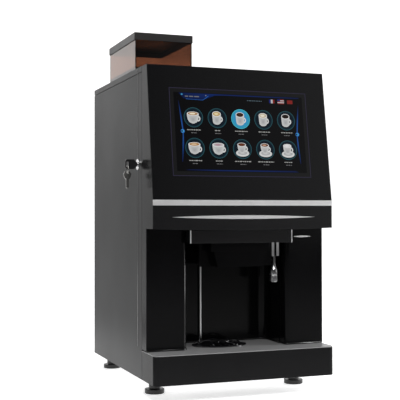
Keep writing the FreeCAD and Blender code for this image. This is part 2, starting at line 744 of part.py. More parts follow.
def inner_shelf():
    edge = half - S.skin - S.door_gap
    front = seam + S.shelf_start
    rear = back - S.skin - S.door_gap
    chute = S.chute_width / 2
    shelf = new_body("InnerShelf")
    plate = rectangle(-edge, edge, front, rear)
    opening = rectangle(S.hopper_x - chute, S.hopper_x + chute, S.brewer_y - chute, S.brewer_y + chute)
    outlet = (S.bowl_x, bowl_y, S.bowl_outlet + S.pipe_gap)
    pad(shelf, "xy", S.shelf_height, shelf_top, [plate, opening], [outlet])
    flange = rectangle(-edge, edge, front, front + S.pan_sheet)
    pad(shelf, "xy", shelf_top, shelf_top + S.shelf_rim, [flange])
    return node("inner_shelf", shelf)


def cabinet_screws():
    pieces = []
    bite = S.screw_length
    for index, (x, z) in enumerate(screw_places()):
        head = cylinder(f"ScrewHead{index}", S.screw_head, (x, back, z), S.screw_height, "y")
        shank = cylinder(f"ScrewShank{index}", S.screw_head / 2, (x, back - bite, z), bite + 1, "y")
        pieces.append(fuse(f"Screw{index}", head, shank))
    return node("cabinet_screws", fuse("CabinetScrews", *pieces))


def foot(label, x, y):
    bevel = S.foot_edge
    edge = S.foot_radius - bevel
    corners = [
        (0, 0), (edge, 0), (S.foot_radius, bevel), (S.foot_radius, S.foot_pad - bevel),
        (edge, S.foot_pad), (S.foot_nut + bevel, S.foot_pad + bevel),
        (S.foot_nut, S.foot_pad + 2 * bevel), (S.foot_nut, S.foot_nut_top - bevel),
        (S.foot_nut - bevel, S.foot_nut_top), (S.stud_radius, S.foot_nut_top),
        (S.stud_radius, S.stud_top), (0, S.stud_top),
    ]
    return node(label, seat(turned(label, corners), x, y, 0))


def feet():
    foot("foot_front_left", -foot_x, front_foot_y)
    foot("foot_front_right", foot_x, front_foot_y)
    foot("foot_rear_left", -foot_x, rear_foot_y)
    foot("foot_rear_right", foot_x, rear_foot_y)


# Alcove, dispensing head and its fittings.


def alcove_liner():
    inner = S.alcove_half
    outer = inner + S.moulding
    front = seam + S.door_gap
    rear = S.alcove_back + S.moulding
    outer_round = S.alcove_round + S.moulding
    skirt = 2 * S.tray_cover_sheet
    wall = [
        (inner, front), (outer, front), (outer, rear, outer_round), (-outer, rear, outer_round),
        (-outer, front), (-inner, front), (-inner, S.alcove_back, S.alcove_round),
        (inner, S.alcove_back, S.alcove_round),
    ]
    liner = padded("AlcoveLiner", "xy", S.tray_top - skirt, S.alcove_top + S.moulding, [wall])
    roof = [
        (-outer, front), (outer, front), (outer, rear, outer_round), (-outer, rear, outer_round),
    ]
    pad(liner, "xy", S.alcove_top, S.alcove_top + S.moulding, [roof])
    hole = (S.hose_x, S.hose_height, S.hose_radius + S.pipe_gap)
    pocket(liner, "xz", S.alcove_back - 1, rear, [], [hole])
    return node("alcove_liner", liner)


def head_housing():
    # The left flank runs slanting to the back wall, the right one is straight beside the nozzle.
    wall = S.moulding
    flank_end = S.nozzle_y + 1.5 * S.nozzle_block
    outline = [
        (-S.head_half, S.head_front), (S.head_half, S.head_front), (S.head_half, flank_end),
        (S.head_tail, S.alcove_back), (-S.head_tail, S.alcove_back),
    ]
    housing = padded("HeadHousing", "xy", S.head_bottom, S.alcove_top, [outline])
    slanted_wall = 1.6 * wall
    hollow = [
        (-S.head_half + 3 * wall, S.head_front + wall), (S.head_half - wall, S.head_front + wall),
        (S.head_half - wall, flank_end - 1), (S.head_tail - wall, S.alcove_back),
        (-S.head_tail + slanted_wall, S.alcove_back),
    ]
    pocket(housing, "xy", S.head_bottom + wall, S.alcove_top - wall, [hollow])
    hole = (S.nozzle_y, S.hose_height, S.hose_radius + S.pipe_gap / 2)
    pocket(housing, "yz", S.head_half - 2 * wall, S.head_half, [], [hole])
    return node("head_housing", housing)


def spout_body():
    outline = [
        (-S.spout_tip, S.head_bottom), (S.spout_tip, S.head_bottom),
        (S.spout_half, S.spout_shoulder), (S.spout_half, S.spout_top),
        (-S.spout_half, S.spout_top), (-S.spout_half, S.spout_shoulder),
    ]
    front = S.plate_front + S.panel_sheet
    spout = padded("SpoutBody", "xz", front, S.head_front, [outline])
    middle = (front + S.head_front) / 2
    outlets = [(side * S.outlet_pitch / 2, middle, S.outlet_bore) for side in (-1, 1)]
    pocket(spout, "xy", S.head_bottom, S.spout_shoulder, [], outlets)
    return node("spout_body", spout)


def head_front_plate():
    corner = S.panel_sheet
    outline = rounded_rectangle(-S.plate_half, S.plate_half, S.spout_shoulder, S.spout_top, corner)
    plate = padded("HeadFrontPlate", "xz", S.plate_front, S.plate_front + S.panel_sheet, [outline])
    return node("head_front_plate", plate)


def guide_rod():
    y = S.alcove_back - S.rod_radius
    start = (S.rod_x, y, S.tray_top + S.slide_gap)
    rod = cylinder("GuideRod", S.rod_radius, start, S.alcove_top - S.tray_top - S.slide_gap)
    return node("guide_rod", rod)


def hot_water_nozzle():
    # A square block, a slim neck, a bell-shaped flare and a sleeve with a fine groove round it.
    tip = S.nozzle_tip
    wide = S.nozzle_radius
    groove = 0.6
    root_lap = 2
    sleeve_top = tip + S.nozzle_sleeve
    flare_top = sleeve_top + S.nozzle_flare
    groove_z = sleeve_top - 8
    bell = wide - S.nozzle_neck
    profile = [
        (S.nozzle_bore, tip), (wide - 1, tip), (wide, tip + 1), (wide, groove_z - groove),
        (wide - groove, groove_z), (wide, groove_z + groove), (wide, sleeve_top),
        (wide - 0.1 * bell, sleeve_top + 0.25 * S.nozzle_flare),
        (wide - 0.45 * bell, sleeve_top + 0.5 * S.nozzle_flare),
        (wide - 0.85 * bell, sleeve_top + 0.8 * S.nozzle_flare),
        (S.nozzle_neck, flare_top), (S.nozzle_neck, S.nozzle_shoulder + root_lap),
        (S.nozzle_bore, S.nozzle_shoulder + root_lap),
    ]
    sleeve = seat(turned("NozzleSleeve", profile), S.nozzle_x, S.nozzle_y, 0)
    side = S.nozzle_block / 2
    block = box("NozzleBlock", (S.nozzle_x - side, S.nozzle_x + side),
                (S.nozzle_y - side, S.nozzle_y + side),
                (S.nozzle_shoulder, S.hose_height + 3 * S.hose_radius))
    stub_length = S.nozzle_x - side - S.head_half
    start = (S.head_half, S.nozzle_y, S.hose_height)
    stub = cylinder("NozzleStub", S.hose_radius + 3, start, stub_length + 1, "x")
    return node("hot_water_nozzle", fuse("HotWaterNozzle", sleeve, block, stub))


def hot_water_hose():
    # Boiler fitting, through the alcove's back wall, round inside the head to the nozzle. The
    # path is straight runs joined by arcs, each as large as the shorter of its two runs allows.
    height = S.hose_height.value
    nozzle_y = S.nozzle_y.value
    route = [
        V(S.hose_x.value, (S.boiler_y - S.fitting_reach).value, height),
        V(S.hose_x.value, (S.nozzle_y + S.hose_turn_y).value, height),
        V(S.hose_turn_x.value, nozzle_y, height),
        V(S.head_half.value, nozzle_y, height),
    ]
    edges = []
    here = route[0]
    for before, corner, after in zip(route, route[1:], route[2:]):
        run_in = corner - before
        run_out = after - corner
        reach = 0.45 * min(run_in.Length, run_out.Length)
        half_turn = run_in.getAngle(run_out) / 2
        radius = reach / math.tan(half_turn)
        print(f"hose bend radius {radius:.1f}")
        first = corner - run_in.normalize() * reach
        last = corner + run_out.normalize() * reach
        inward = ((first + last) / 2 - corner).normalize()
        middle = corner + inward * (radius / math.cos(half_turn) - radius)
        edges.append(Part.makeLine(here, first))
        edges.append(Part.Arc(first, middle, last).toShape())
        here = last
    edges.append(Part.makeLine(here, route[-1]))
    path = Part.Wire(edges)
    ring = Part.Wire(Part.makeCircle(S.hose_radius.value, route[0], V(0, 1, 0)))
    hose = doc.addObject("Part::Feature", "HotWaterHose")
    hose.Shape = path.makePipeShell([ring], True, False)
    expected = math.pi * S.hose_radius.value ** 2 * path.Length
    print(f"hose volume {hose.Shape.Volume:.0f}, section times length {expected:.0f}")
    return node("hot_water_hose", hose)


# Drip tray.


def tray_outline(inset, rear):
    edge = half - inset
    front = tray_front + inset
    rounding = S.tray_round - inset
    return [(-edge, front, rounding), (edge, front, rounding), (edge, rear), (-edge, rear)]


def tray_housing():
    top = S.tray_top - S.tray_cover_sheet
    floor_top = tray_floor + S.tray_wall
    housing = padded("TrayHousing", "xy", S.base_height, top, [tray_outline(0, door_back)])
    rear = door_back - S.tray_wall
    pocket(housing, "xy", floor_top, top, [tray_outline(S.tray_wall, rear)])
    pocket(housing, "xy", S.base_height, tray_floor, [tray_outline(S.tray_wall, door_back)])
    reach = S.pan_half + 1
    pocket(housing, "xz", rear - 1, door_back, [rectangle(-reach, reach, floor_top, top)])
    return node("tray_housing", housing)


def tray_cover():
    low = S.tray_top - S.tray_cover_sheet
    edge = S.alcove_half - S.cover_gap
    rear = S.alcove_back - S.cover_gap
    tongue = S.alcove_round
    outline = [
        (-half, tray_front, S.tray_round), (half, tray_front, S.tray_round), (half, door_back),
        (edge, door_back), (edge, rear, tongue), (-edge, rear, tongue), (-edge, door_back),
        (-half, door_back),
    ]
    sheet_body = padded("TrayCoverSheet", "xy", low, S.tray_top, [outline])
    gap = S.grid_rim - 1
    hole = oval("TrayCoverHole", S.grid_long - gap, S.grid_short - gap,
                (S.grid_x, S.grid_y, low - 1), S.tray_cover_sheet + 2)
    return node("tray_cover", cut("TrayCover", sheet_body, hole))


def drip_pan():
    low = tray_floor + S.tray_wall + S.fit_gap
    high = S.tray_top - S.tray_cover_sheet - S.slip_gap
    front = tray_front + S.tray_wall + 4
    rear = S.alcove_back - 5
    edge = S.pan_half
    corner = 10
    pan = padded("DripPan", "xy", low, high, [rounded_rectangle(-edge, edge, front, rear, corner)])
    wall = S.pan_wall
    inside = rounded_rectangle(-edge + wall, edge - wall, front + wall, rear - wall, corner - wall)
    pocket(pan, "xy", low + wall, high, [inside])
    return node("drip_pan", pan)


def cup_grid():
    x, y = S.grid_x, S.grid_y
    rim_low = S.tray_top + S.fit_gap / 2
    rim_hole = S.grid_rim + S.grid_wall
    rim = cut("GridRim", oval("GridRimOuter", S.grid_long, S.grid_short, (x, y, rim_low), S.grid_rise),
              oval("GridRimInner", S.grid_long - rim_hole, S.grid_short - rim_hole,
                   (x, y, rim_low - 1), S.grid_rise + 2))
    drop = S.grid_rim + S.fit_gap
    inset = drop + S.grid_wall
    skirt_low = rim_low - S.grid_drop
    skirt_height = S.grid_drop + S.grid_rise
    skirt = cut("GridSkirt",
                oval("GridSkirtOuter", S.grid_long - drop, S.grid_short - drop,
                     (x, y, skirt_low), skirt_height),
                oval("GridSkirtInner", S.grid_long - inset, S.grid_short - inset,
                     (x, y, skirt_low - 1), skirt_height + 2))
    low = S.tray_top - S.grid_sink
    height = S.grid_sink + S.grid_vane
    sheet = S.grid_wall * 0.6
    vanes = []
    for index in range(6):
        vane = box(f"GridVane{index}", (-S.grid_long, S.grid_long), (-sheet, sheet), (0, height))
        spun = turn(carrier(f"GridVaneTurned{index}", vane), V(0, 0, 1), 15 + 30 * index)
        vanes.append(seat(spun, x, y, low))
    within = drop + S.slide_gap
    reach = oval("GridVaneReach", S.grid_long - within, S.grid_short - within,
                 (x, y, low - 1), height + 2)
    star = common("GridStar", fuse("GridVanes", *vanes), reach)
    hub = cylinder("GridHub", S.grid_hub, (x, y, low), height)
    return node("cup_grid", fuse("CupGrid", rim, skirt, star, hub))


# Door.


def door_skin(name, low, high):
    outline = [
        (door_back, door_bottom), (door_back, fascia_top), (S.fascia_lean, fascia_top),
        (0, strip_top), (0, S.band_bottom), (S.pillar_face, S.band_bottom),
        (S.pillar_face, door_bottom),
    ]
    return padded(name, "yz", low, high, [outline])


def door_frame():
    inner = half - S.skin
    flange = inner - S.door_flange
    sill = S.band_bottom + 1
    liner_front = door_back - S.skin - S.liner_sheet - S.slip_gap
    rail_front = S.glass + 6
    pieces = [
        door_skin("DoorSkinLeft", -half, -inner),
        door_skin("DoorSkinRight", inner, half),
        box("DoorTop", (-inner, inner), (S.fascia_lean + S.glass + S.slip_gap, door_back),
            (fascia_top - S.skin, fascia_top)),
        box("DoorSill", (-inner, inner), (S.panel_sheet + S.slide_gap, liner_front),
            (sill, sill + S.skin)),
        box("DoorRail", (-inner, inner), (rail_front, rail_front + S.door_flange),
            (S.strip_bottom, S.strip_bottom + S.skin)),
    ]
    inside = S.alcove_half + S.moulding + S.slide_gap
    shoe_front = S.pillar_face + S.moulding + S.slide_gap
    for side, name in ((-1, "Left"), (1, "Right")):
        pieces.append(box("DoorFlange" + name, ordered(side * inner, side * flange),
                          (door_back - S.skin, door_back), (door_bottom, fascia_top)))
        pieces.append(box("DoorShoe" + name, ordered(side * inner, side * inside),
                          (shoe_front, door_back), (door_bottom, door_bottom + S.skin)))
    # The catch: a tongue under the lock's cam, with a lip behind the locked cam.
    tongue = 4
    lip = 3
    tongue_z = S.lock_z - S.catch_drop - tongue
    lip_y = lock_y + S.cam_width / 2 + S.pipe_gap
    left = -half + S.lock_body - S.slide_gap
    right = -half + S.lock_length + 2 * tongue
    pieces.append(box("CatchRoot", (-inner, right), (door_back - S.skin, door_back),
                      (tongue_z - 3 * tongue, tongue_z + 3 * tongue)))
    pieces.append(box("CatchTongue", (left, right), (door_back - S.skin, lip_y + lip),
                      (tongue_z, tongue_z + tongue)))
    pieces.append(box("CatchLip", (left, right), (lip_y, lip_y + lip),
                      (tongue_z, S.lock_z - S.lock_body - 2.5)))
    return node("door_frame", fuse("DoorFrame", *pieces))


def door_liner():
    edge = half - S.skin - S.cover_gap
    high = fascia_top - S.skin - S.pipe_gap
    low = door_bottom + S.skin + 1
    inside = S.alcove_half + S.moulding + S.door_gap
    arch = S.band_bottom + 2 * S.skin
    rear = door_back - S.skin - S.fit_gap
    outline = [
        (-edge, low), (-inside, low), (-inside, arch), (inside, arch), (inside, low), (edge, low),
        (edge, high), (-edge, high),
    ]
    return node("door_liner", padded("DoorLiner", "xz", rear - S.liner_sheet, rear, [outline]))


def fascia_glass():
    edge = half - S.skin - S.fit_gap / 2
    outline = [
        (0, strip_top), (S.glass, strip_top), (S.fascia_lean + S.glass, fascia_top),
        (S.fascia_lean, fascia_top),
    ]
    return node("fascia_glass", padded("FasciaGlass", "yz", -edge, edge, [outline]))


def display_module():
    rise = fascia_top - strip_top
    slope = root(S.fascia_lean * S.fascia_lean + rise * rise)
    sine = S.fascia_lean / slope
    cosine = rise / slope
    behind = S.glass + 1.5 * S.fit_gap
    module = doc.addObject("Part::Box", "DisplayModule")
    bind(module, "Length", S.screen_width)
    bind(module, "Width", S.screen_depth)
    bind(module, "Height", S.screen_height)
    turn(module, V(-1, 0, 0), 10)
    module.setExpression("Placement.Rotation.Angle", f"atan({(S.fascia_lean / rise).text})")
    seat(module, -S.screen_width / 2, S.screen_start * sine + behind * cosine,
         strip_top + S.screen_start * cosine - behind * sine)
    return node("display_module", module)


def trim_strip():
    strip = box("TrimStrip", (-half, half), (-S.strip_proud, 0), (S.strip_bottom, strip_top))
    return node("trim_strip", strip)


def band_panel():
    edge = half - S.skin - S.fit_gap / 2
    body = new_body("BandPanel")
    sketch = new_sketch(body, "xz", -S.panel_sheet)
    radius = (edge * edge + S.band_bow * S.band_bow) / (2 * S.band_bow)
    top = strip_top - S.fit_gap
    corners = [(edge, S.band_bottom), (edge, top), (-edge, top), (-edge, S.band_bottom)]
    lines = []
    for start, end in zip(corners, corners[1:]):
        lines.append(sketch.addGeometry(Part.LineSegment(point(start), point(end)), False))
    centre = (dim(0), S.band_bottom - S.band_bow + radius)
    arc = add_arc(sketch, corners[-1], corners[0], centre, radius, True)
    for first, second in zip(lines, lines[1:]):
        sketch.addConstraint(Sketcher.Constraint("Coincident", first, 2, second, 1))
    sketch.addConstraint(Sketcher.Constraint("Coincident", lines[-1], 2, arc[0], 1))
    sketch.addConstraint(Sketcher.Constraint("Coincident", arc[0], 2, lines[0], 1))
    for geometry, corner in zip(lines, corners):
        fix_point(sketch, geometry, 1, corner)
    fix_point(sketch, arc[0], 1, corners[-1])
    feature = body.newObject("PartDesign::Pad", "Pad")
    feature.Profile = sketch
    bind(feature, "Length", S.panel_sheet)
    return node("band_panel", body)


def pillar(label, side):
    outer = half - S.skin - S.fit_gap
    inner = S.alcove_half
    rear = door_back - S.skin - S.liner_sheet - S.slip_gap
    front = S.pillar_face
    low = door_bottom + S.skin + S.fit_gap
    high = S.band_bottom - S.slide_gap
    corners = [(inner, front, S.pillar_round), (outer, front), (outer, rear), (inner, rear)]
    wall = S.moulding
    hollow = [
        (inner + wall, front + wall, S.pillar_round - wall), (outer - wall, front + wall),
        (outer - wall, rear), (inner + wall, rear),
    ]
    if side < 0:
        corners = [(-c[0],) + tuple(c[1:]) for c in reversed(corners)]
        hollow = [(-c[0],) + tuple(c[1:]) for c in reversed(hollow)]
    body = padded(label, "xy", low, high, [corners])
    pocket(body, "xy", low + wall, high - wall, [hollow])
    return node(label, body)


def hood():
    wall = S.moulding
    edge = S.hood_half
    rear = S.pillar_face - S.slide_gap
    shell = padded("Hood", "xy", S.hood_bottom, hood_top, [rectangle(-edge, edge, S.hood_front, rear)])
    inside = rectangle(-edge + wall, edge - wall, S.hood_front + wall, rear)
    pocket(shell, "xy", S.hood_bottom, hood_top - wall, [inside])
    return node("hood", shell)


def chrome_trims():
    front = S.hood_front
    band = lens(new_body("BandLens"), dim(0), S.lens_height, S.lens_half, S.lens_rise,
                -S.trim_proud, 0)
    badge = lens(new_body("PillarLens"), S.badge_x, S.badge_height, S.badge_half, S.badge_rise,
                 S.pillar_face - S.trim_proud, S.pillar_face)
    strips = []
    for side, name in ((-1, "Left"), (1, "Right")):
        across = ordered(side * S.hood_half, side * (S.hood_half - S.trim_width))
        strips.append(box("HoodStrip" + name, across, (front - S.trim_proud, front),
                          (S.hood_bottom, hood_top)))
    return node("chrome_trims", fuse("ChromeTrims", band, badge, *strips))


def hinge_leaves():
    cabinet = []
    door = []
    leaf_x = (half, half + S.leaf_sheet)
    gap = S.slide_gap
    for index, low in enumerate((S.hinge_low, S.hinge_high)):
        middle = low + S.hinge_leaf
        high = middle + S.hinge_leaf
        start = (hinge_x, hinge_y, low)
        cabinet.append(box(f"CabinetLeaf{index}", leaf_x, (hinge_y, seam + S.hinge_leaf), (low, middle)))
        cabinet.append(cylinder(f"CabinetKnuckle{index}", S.knuckle, start, S.hinge_leaf))
        cabinet.append(cylinder(f"HingePin{index}", S.hinge_pin, start, 2 * S.hinge_leaf))
        leaf = box(f"DoorLeaf{index}", leaf_x, (door_back - S.hinge_leaf, hinge_y), (middle + gap, high))
        over = (hinge_x, hinge_y, middle + gap)
        sleeve = cylinder(f"DoorKnuckle{index}", S.knuckle, over, S.hinge_leaf - gap)
        under = (hinge_x, hinge_y, middle)
        bore = cylinder(f"DoorBore{index}", S.hinge_pin + S.shaft_fit, under, S.hinge_leaf + 1)
        door.append(cut(f"DoorHinge{index}", fuse(f"DoorHalf{index}", leaf, sleeve), bore))
    node("cabinet_hinges", fuse("CabinetHinges", *cabinet))
    node("door_hinges", fuse("DoorHinges", *door))


# Lock and keys.


def lock_barrel():
    y, z = lock_y, S.lock_z
    bezel_x = -half - S.lock_proud
    bezel = cylinder("LockBezel", S.lock_flange, (bezel_x, y, z), S.lock_proud, "x")
    barrel = cylinder("LockBody", S.lock_body, (bezel_x, y, z), S.lock_proud + S.lock_length, "x")
    nut = cylinder("LockNut", S.lock_flange, (-half + S.skin, y, z), 4, "x")
    bore = cylinder("LockBore", S.plug_radius + S.shaft_fit, (bezel_x - 1, y, z),
                    S.lock_proud + S.lock_length + 2, "x")
    return node("lock_barrel", cut("LockBarrel", fuse("LockBlank", bezel, barrel, nut), bore))


def lock_plug():
    y, z = lock_y, S.lock_z
    face = -half - S.lock_proud - 0.5
    cam_x = -half + S.lock_length + 0.5
    plug = cylinder("PlugBlank", S.plug_radius, (face, y, z), cam_x - face, "x")
    arm = box("CamArm", (cam_x, cam_x + S.cam_sheet),
              (y - S.cam_length, y + S.cam_width / 2), (z - S.cam_width / 2, z + S.cam_width / 2))
    slot_y = S.blade_sheet / 2 + 0.1
    slot_z = S.blade_height / 2 + 0.1
    slot = box("PlugSlot", (face - 1, -half + 16), (y - slot_y, y + slot_y), (z - slot_z, z + slot_z))
    return node("lock_plug", fuse("LockPlug", cut("PlugCut", plug, slot), arm))


def door_key():
    y, z = lock_y, S.lock_z
    root_x = -half - S.lock_proud - 1
    blade_y = S.blade_sheet / 2
    blade_z = S.blade_height / 2
    bow_y = S.key_sheet / 2
    tip_z = S.key_height / 2
    outline = [
        (root_x, z - blade_z - 1), (root_x, z + blade_z + 1), (root_x - 8, z + tip_z),
        (key_end + 4, z + tip_z), (key_end, z + tip_z - 4), (key_end, z - tip_z + 4),
        (key_end + 4, z - tip_z), (root_x - 8, z - tip_z),
    ]
    hole = rounded_rectangle(key_end + 3, key_end + 8.4, z - 6, z + 6, 2)
    bow = padded("KeyBow", "xz", y - bow_y, y + bow_y, [outline, hole])
    blade = box("KeyBlade", (root_x - 2, -half + 15), (y - blade_y, y + blade_y),
                (z - blade_z, z + blade_z))
    return node("door_key", fuse("DoorKey", bow, blade))


def key_ring():
    item = doc.addObject("Part::Torus", "KeyRing")
    item.Placement = FreeCAD.Placement(V(), AXES["x"])
    bind(item, "Radius1", S.ring_radius)
    bind(item, "Radius2", S.ring_wire)
    seat(item, ring_x, lock_y, ring_z - S.ring_radius)
    return node("key_ring", item)


def spare_key():
    y = lock_y
    hole_r = S.ring_wire + 1.6
    hole_z = ring_z - 2 * S.ring_radius - 1.2
    head_z = hole_z - 5
    tip_z = head_z - S.spare_length
    blade = S.blade_height / 2
    edge = S.spare_half
    outline = [
        (ring_x - edge + 4, head_z + 9), (ring_x - edge, head_z + 3), (ring_x - edge + 2, head_z - 6),
        (ring_x - blade, head_z - 10), (ring_x - blade, tip_z + 3), (ring_x, tip_z),
        (ring_x + blade, tip_z + 3), (ring_x + blade, head_z - 10), (ring_x + edge - 2, head_z - 6),
        (ring_x + edge, head_z + 3), (ring_x + edge - 4, head_z + 9),
    ]
    key = padded("SpareKey", "xz", y - 1, y + 1, [outline], [(ring_x, hole_z, hole_r)])
    return node("spare_key", key)


# Bean hopper.


def bean_hopper():
    inset = S.lid_wall + S.slip_gap
    half_x = S.hopper_width / 2 - inset
    half_y = S.hopper_length / 2 - inset
    x, y = S.hopper_x, S.hopper_y
    base = S.cabinet_height
    rim = hopper_top - inset
    wall = S.hopper_wall
    neck_half = S.neck_half
    funnel_top = base + S.funnel_height
    tank = box("HopperTank", (x - half_x, x + half_x), (y - half_y, y + half_y), (base, rim))
    neck = box("HopperNeck", (x - neck_half, x + neck_half), (y - neck_half, y + neck_half),
               (neck_bottom, base))
    hollow = box("HopperHollow", (x - half_x + wall, x + half_x - wall),
                 (y - half_y + wall, y + half_y - wall), (funnel_top, rim + 1))
    slope = cone("HopperSlope", S.neck_bore, half_x - wall - 1, (x, y, base + wall),
                 S.funnel_height - wall)
    bore = cylinder("HopperBore", S.neck_bore, (x, y, neck_bottom - 1), base + wall - neck_bottom + 1)
    slot_half = gate_half + S.slip_gap
    slot = box("GateSlot", (x - slot_half, x + slot_half), (y - neck_half - 1, y + gate_half),
               (gate_z - S.slip_gap, gate_z + S.gate_sheet + S.slip_gap))
    blank = fuse("HopperBlank", tank, neck)
    return node("bean_hopper", cut("BeanHopper", blank, hollow, slope, bore, slot))


def hopper_gate():
    x, y = S.hopper_x, S.hopper_y
    front = y - S.neck_half - S.gate_reach
    rear = y - S.neck_bore - 2 * S.gate_lap
    grip_depth = 4
    grip_height = 9
    blade = box("GateBlade", (x - gate_half, x + gate_half), (front, rear),
                (gate_z, gate_z + S.gate_sheet))
    grip = box("GateGrip", (x - S.gate_grip, x + S.gate_grip), (front - grip_depth, front),
               (gate_z, gate_z + grip_height))
    return node("hopper_gate", fuse("HopperGate", blade, grip))


def hopper_lid():
    x, y = S.hopper_x, S.hopper_y
    half_x = S.hopper_width / 2
    half_y = S.hopper_length / 2
    low = hopper_top - S.lid_height
    wall = S.lid_wall
    outline = rounded_rectangle(x - half_x, x + half_x, y - half_y, y + half_y, wall)
    shell = padded("HopperLid", "xy", low, hopper_top, [outline])
    inside = rectangle(x - half_x + wall, x + half_x - wall, y - half_y + wall, y + half_y - wall)
    pocket(shell, "xy", low, hopper_top - wall, [inside])
    return node("hopper_lid", shell)


# Works inside the cabinet.

auger_shaft = dim(3)
whipper_shaft = dim(4)
inlet_top = S.rocker_z + S.inlet_half - 4


def grinder_body():
    # The ground coffee leaves by a throat in front and drops into the brewer.
    x, y = S.hopper_x, S.hopper_y
    outer = S.throat_half
    way = outer - 3
    chamber_base = grinder_base + 18
    throat_front = S.brewer_y - outer
    motor_radius = S.grinder_radius - 12
    shell = cylinder("GrinderShell", S.grinder_radius, (x, y, grinder_base), S.grinder_length)
    motor = cylinder("GrinderMotor", motor_radius, (x, y, grinder_base - S.motor_length), S.motor_length)
    throat = box("GrinderThroat", (x - outer, x + outer), (throat_front, y - S.grinder_radius + 10),
                 (grinder_base + 16, grinder_base + 42))
    drop = box("GrinderDrop", (x - outer, x + outer), (throat_front, S.brewer_y + outer),
               (S.brewer_top + 6, grinder_base + 20))
    chamber = cylinder("GrinderChamber", S.burr_radius + 2, (x, y, chamber_base),
                       grinder_top - chamber_base - 8)
    mouth = cylinder("GrinderMouth", S.neck_bore, (x, y, grinder_top - 10), 12)
    shaft = cylinder("GrinderShaftBore", S.stud_radius + S.shaft_fit, (x, y, grinder_base - 20), 40)
    level = box("GrinderWay", (x - way, x + way), (S.brewer_y - way, y - 30),
                (grinder_base + 19, grinder_base + 39))
    fall = box("GrinderFall", (x - way, x + way), (S.brewer_y - way, S.brewer_y + way),
               (S.brewer_top + 5, grinder_base + 30))
    blank = fuse("GrinderBlank", shell, motor, throat, drop)
    return node("grinder_body", cut("GrinderBody", blank, chamber, mouth, shaft, level, fall))


def grinder_burr():
    low = grinder_base + 40
    profile = [
        (0, grinder_base - 18), (S.stud_radius, grinder_base - 18), (S.stud_radius, low),
        (S.burr_radius, low), (S.burr_radius, low + 12), (S.burr_radius - 20, low + 38),
        (0, low + 38),
    ]
    burr = seat(turned("GrinderBurr", profile), S.hopper_x, S.hopper_y, 0)
    return node("grinder_burr", burr)


def brewer():
    x, y = S.hopper_x, S.brewer_y
    edge = S.brewer_half
    block = box("BrewerBlock", (x - edge, x + edge), (y - edge, y + edge), (S.brewer_base, S.brewer_top))
    bore = cylinder("BrewerBore", S.piston_radius + 0.3, (x, y, S.brewer_base + 40),
                    S.brewer_top - S.brewer_base)
    rod_bore = cylinder("BrewerRodBore", 6 + S.shaft_fit, (x, y, S.brewer_base - 1), 60)
    node("brewer_body", cut("BrewerBody", block, bore, rod_bore))
    head = cylinder("PistonHead", S.piston_radius, (x, y, S.brewer_base + 90), 15)
    rod = cylinder("PistonRod", 6, (x, y, S.brewer_base - 14), 110)
    node("brewer_piston", fuse("BrewerPiston", head, rod))


def powder_canisters():
    pieces = []
    wall = S.canister_wall
    edge = S.canister_half
    front = S.canister_front
    rear = S.canister_back
    base = S.canister_base
    axis_z = base + S.auger_rise
    chin_half = S.auger_radius + 4
    chin_reach = 26
    fall_half = 10
    for index in range(3):
        x = S.canister_first + index * S.canister_pitch
        shell = box(f"Canister{index}", (x - edge, x + edge), (front, rear), (base, canister_top))
        chin = box(f"CanisterChin{index}", (x - chin_half, x + chin_half),
                   (front - chin_reach, front + 1), (base + 1, axis_z + 20))
        room = box(f"CanisterRoom{index}", (x - edge + wall, x + edge - wall),
                   (front + wall, rear - wall), (base + wall, canister_top - wall))
        hole = cylinder(f"CanisterHole{index}", S.auger_radius + 1,
                        (x, front - chin_reach + wall, axis_z), chin_reach + 2 * wall, "y")
        fall = box(f"CanisterFall{index}", (x - fall_half, x + fall_half),
                   (front - chin_reach + 2 * wall, front - 2 * wall), (base, axis_z))
        shaft = cylinder(f"CanisterShaft{index}", auger_shaft + S.shaft_fit, (x, rear - 5, axis_z),
                         10, "y")
        blank = fuse(f"CanisterBlank{index}", shell, chin)
        pieces.append(cut(f"CanisterCut{index}", blank, room, hole, fall, shaft))
        auger(f"auger_{index + 1}", x, axis_z)
    return node("powder_canisters", fuse("PowderCanisters", *pieces))


def auger(label, x, z):
    start = S.canister_front - 22
    shaft = cylinder(label + "_shaft", auger_shaft, (x, start, z), S.canister_back - start + 6, "y")
    pieces = [shaft]
    # Each turn of the flight is a disc that leans by the screw's lead.
    lean = 14
    first_turn = 12
    turn_pitch = 21
    for index in range(10):
        disc = cylinder(f"{label}_disc{index}", S.auger_radius - S.door_gap, (0, 0, 0), 2)
        flight = turn(carrier(f"{label}_flight{index}", disc), V(1, 0, 0), -90 + lean)
        pieces.append(seat(flight, x, start + first_turn + index * turn_pitch, z))
    return node(label, fuse(label + "_screw", *pieces))


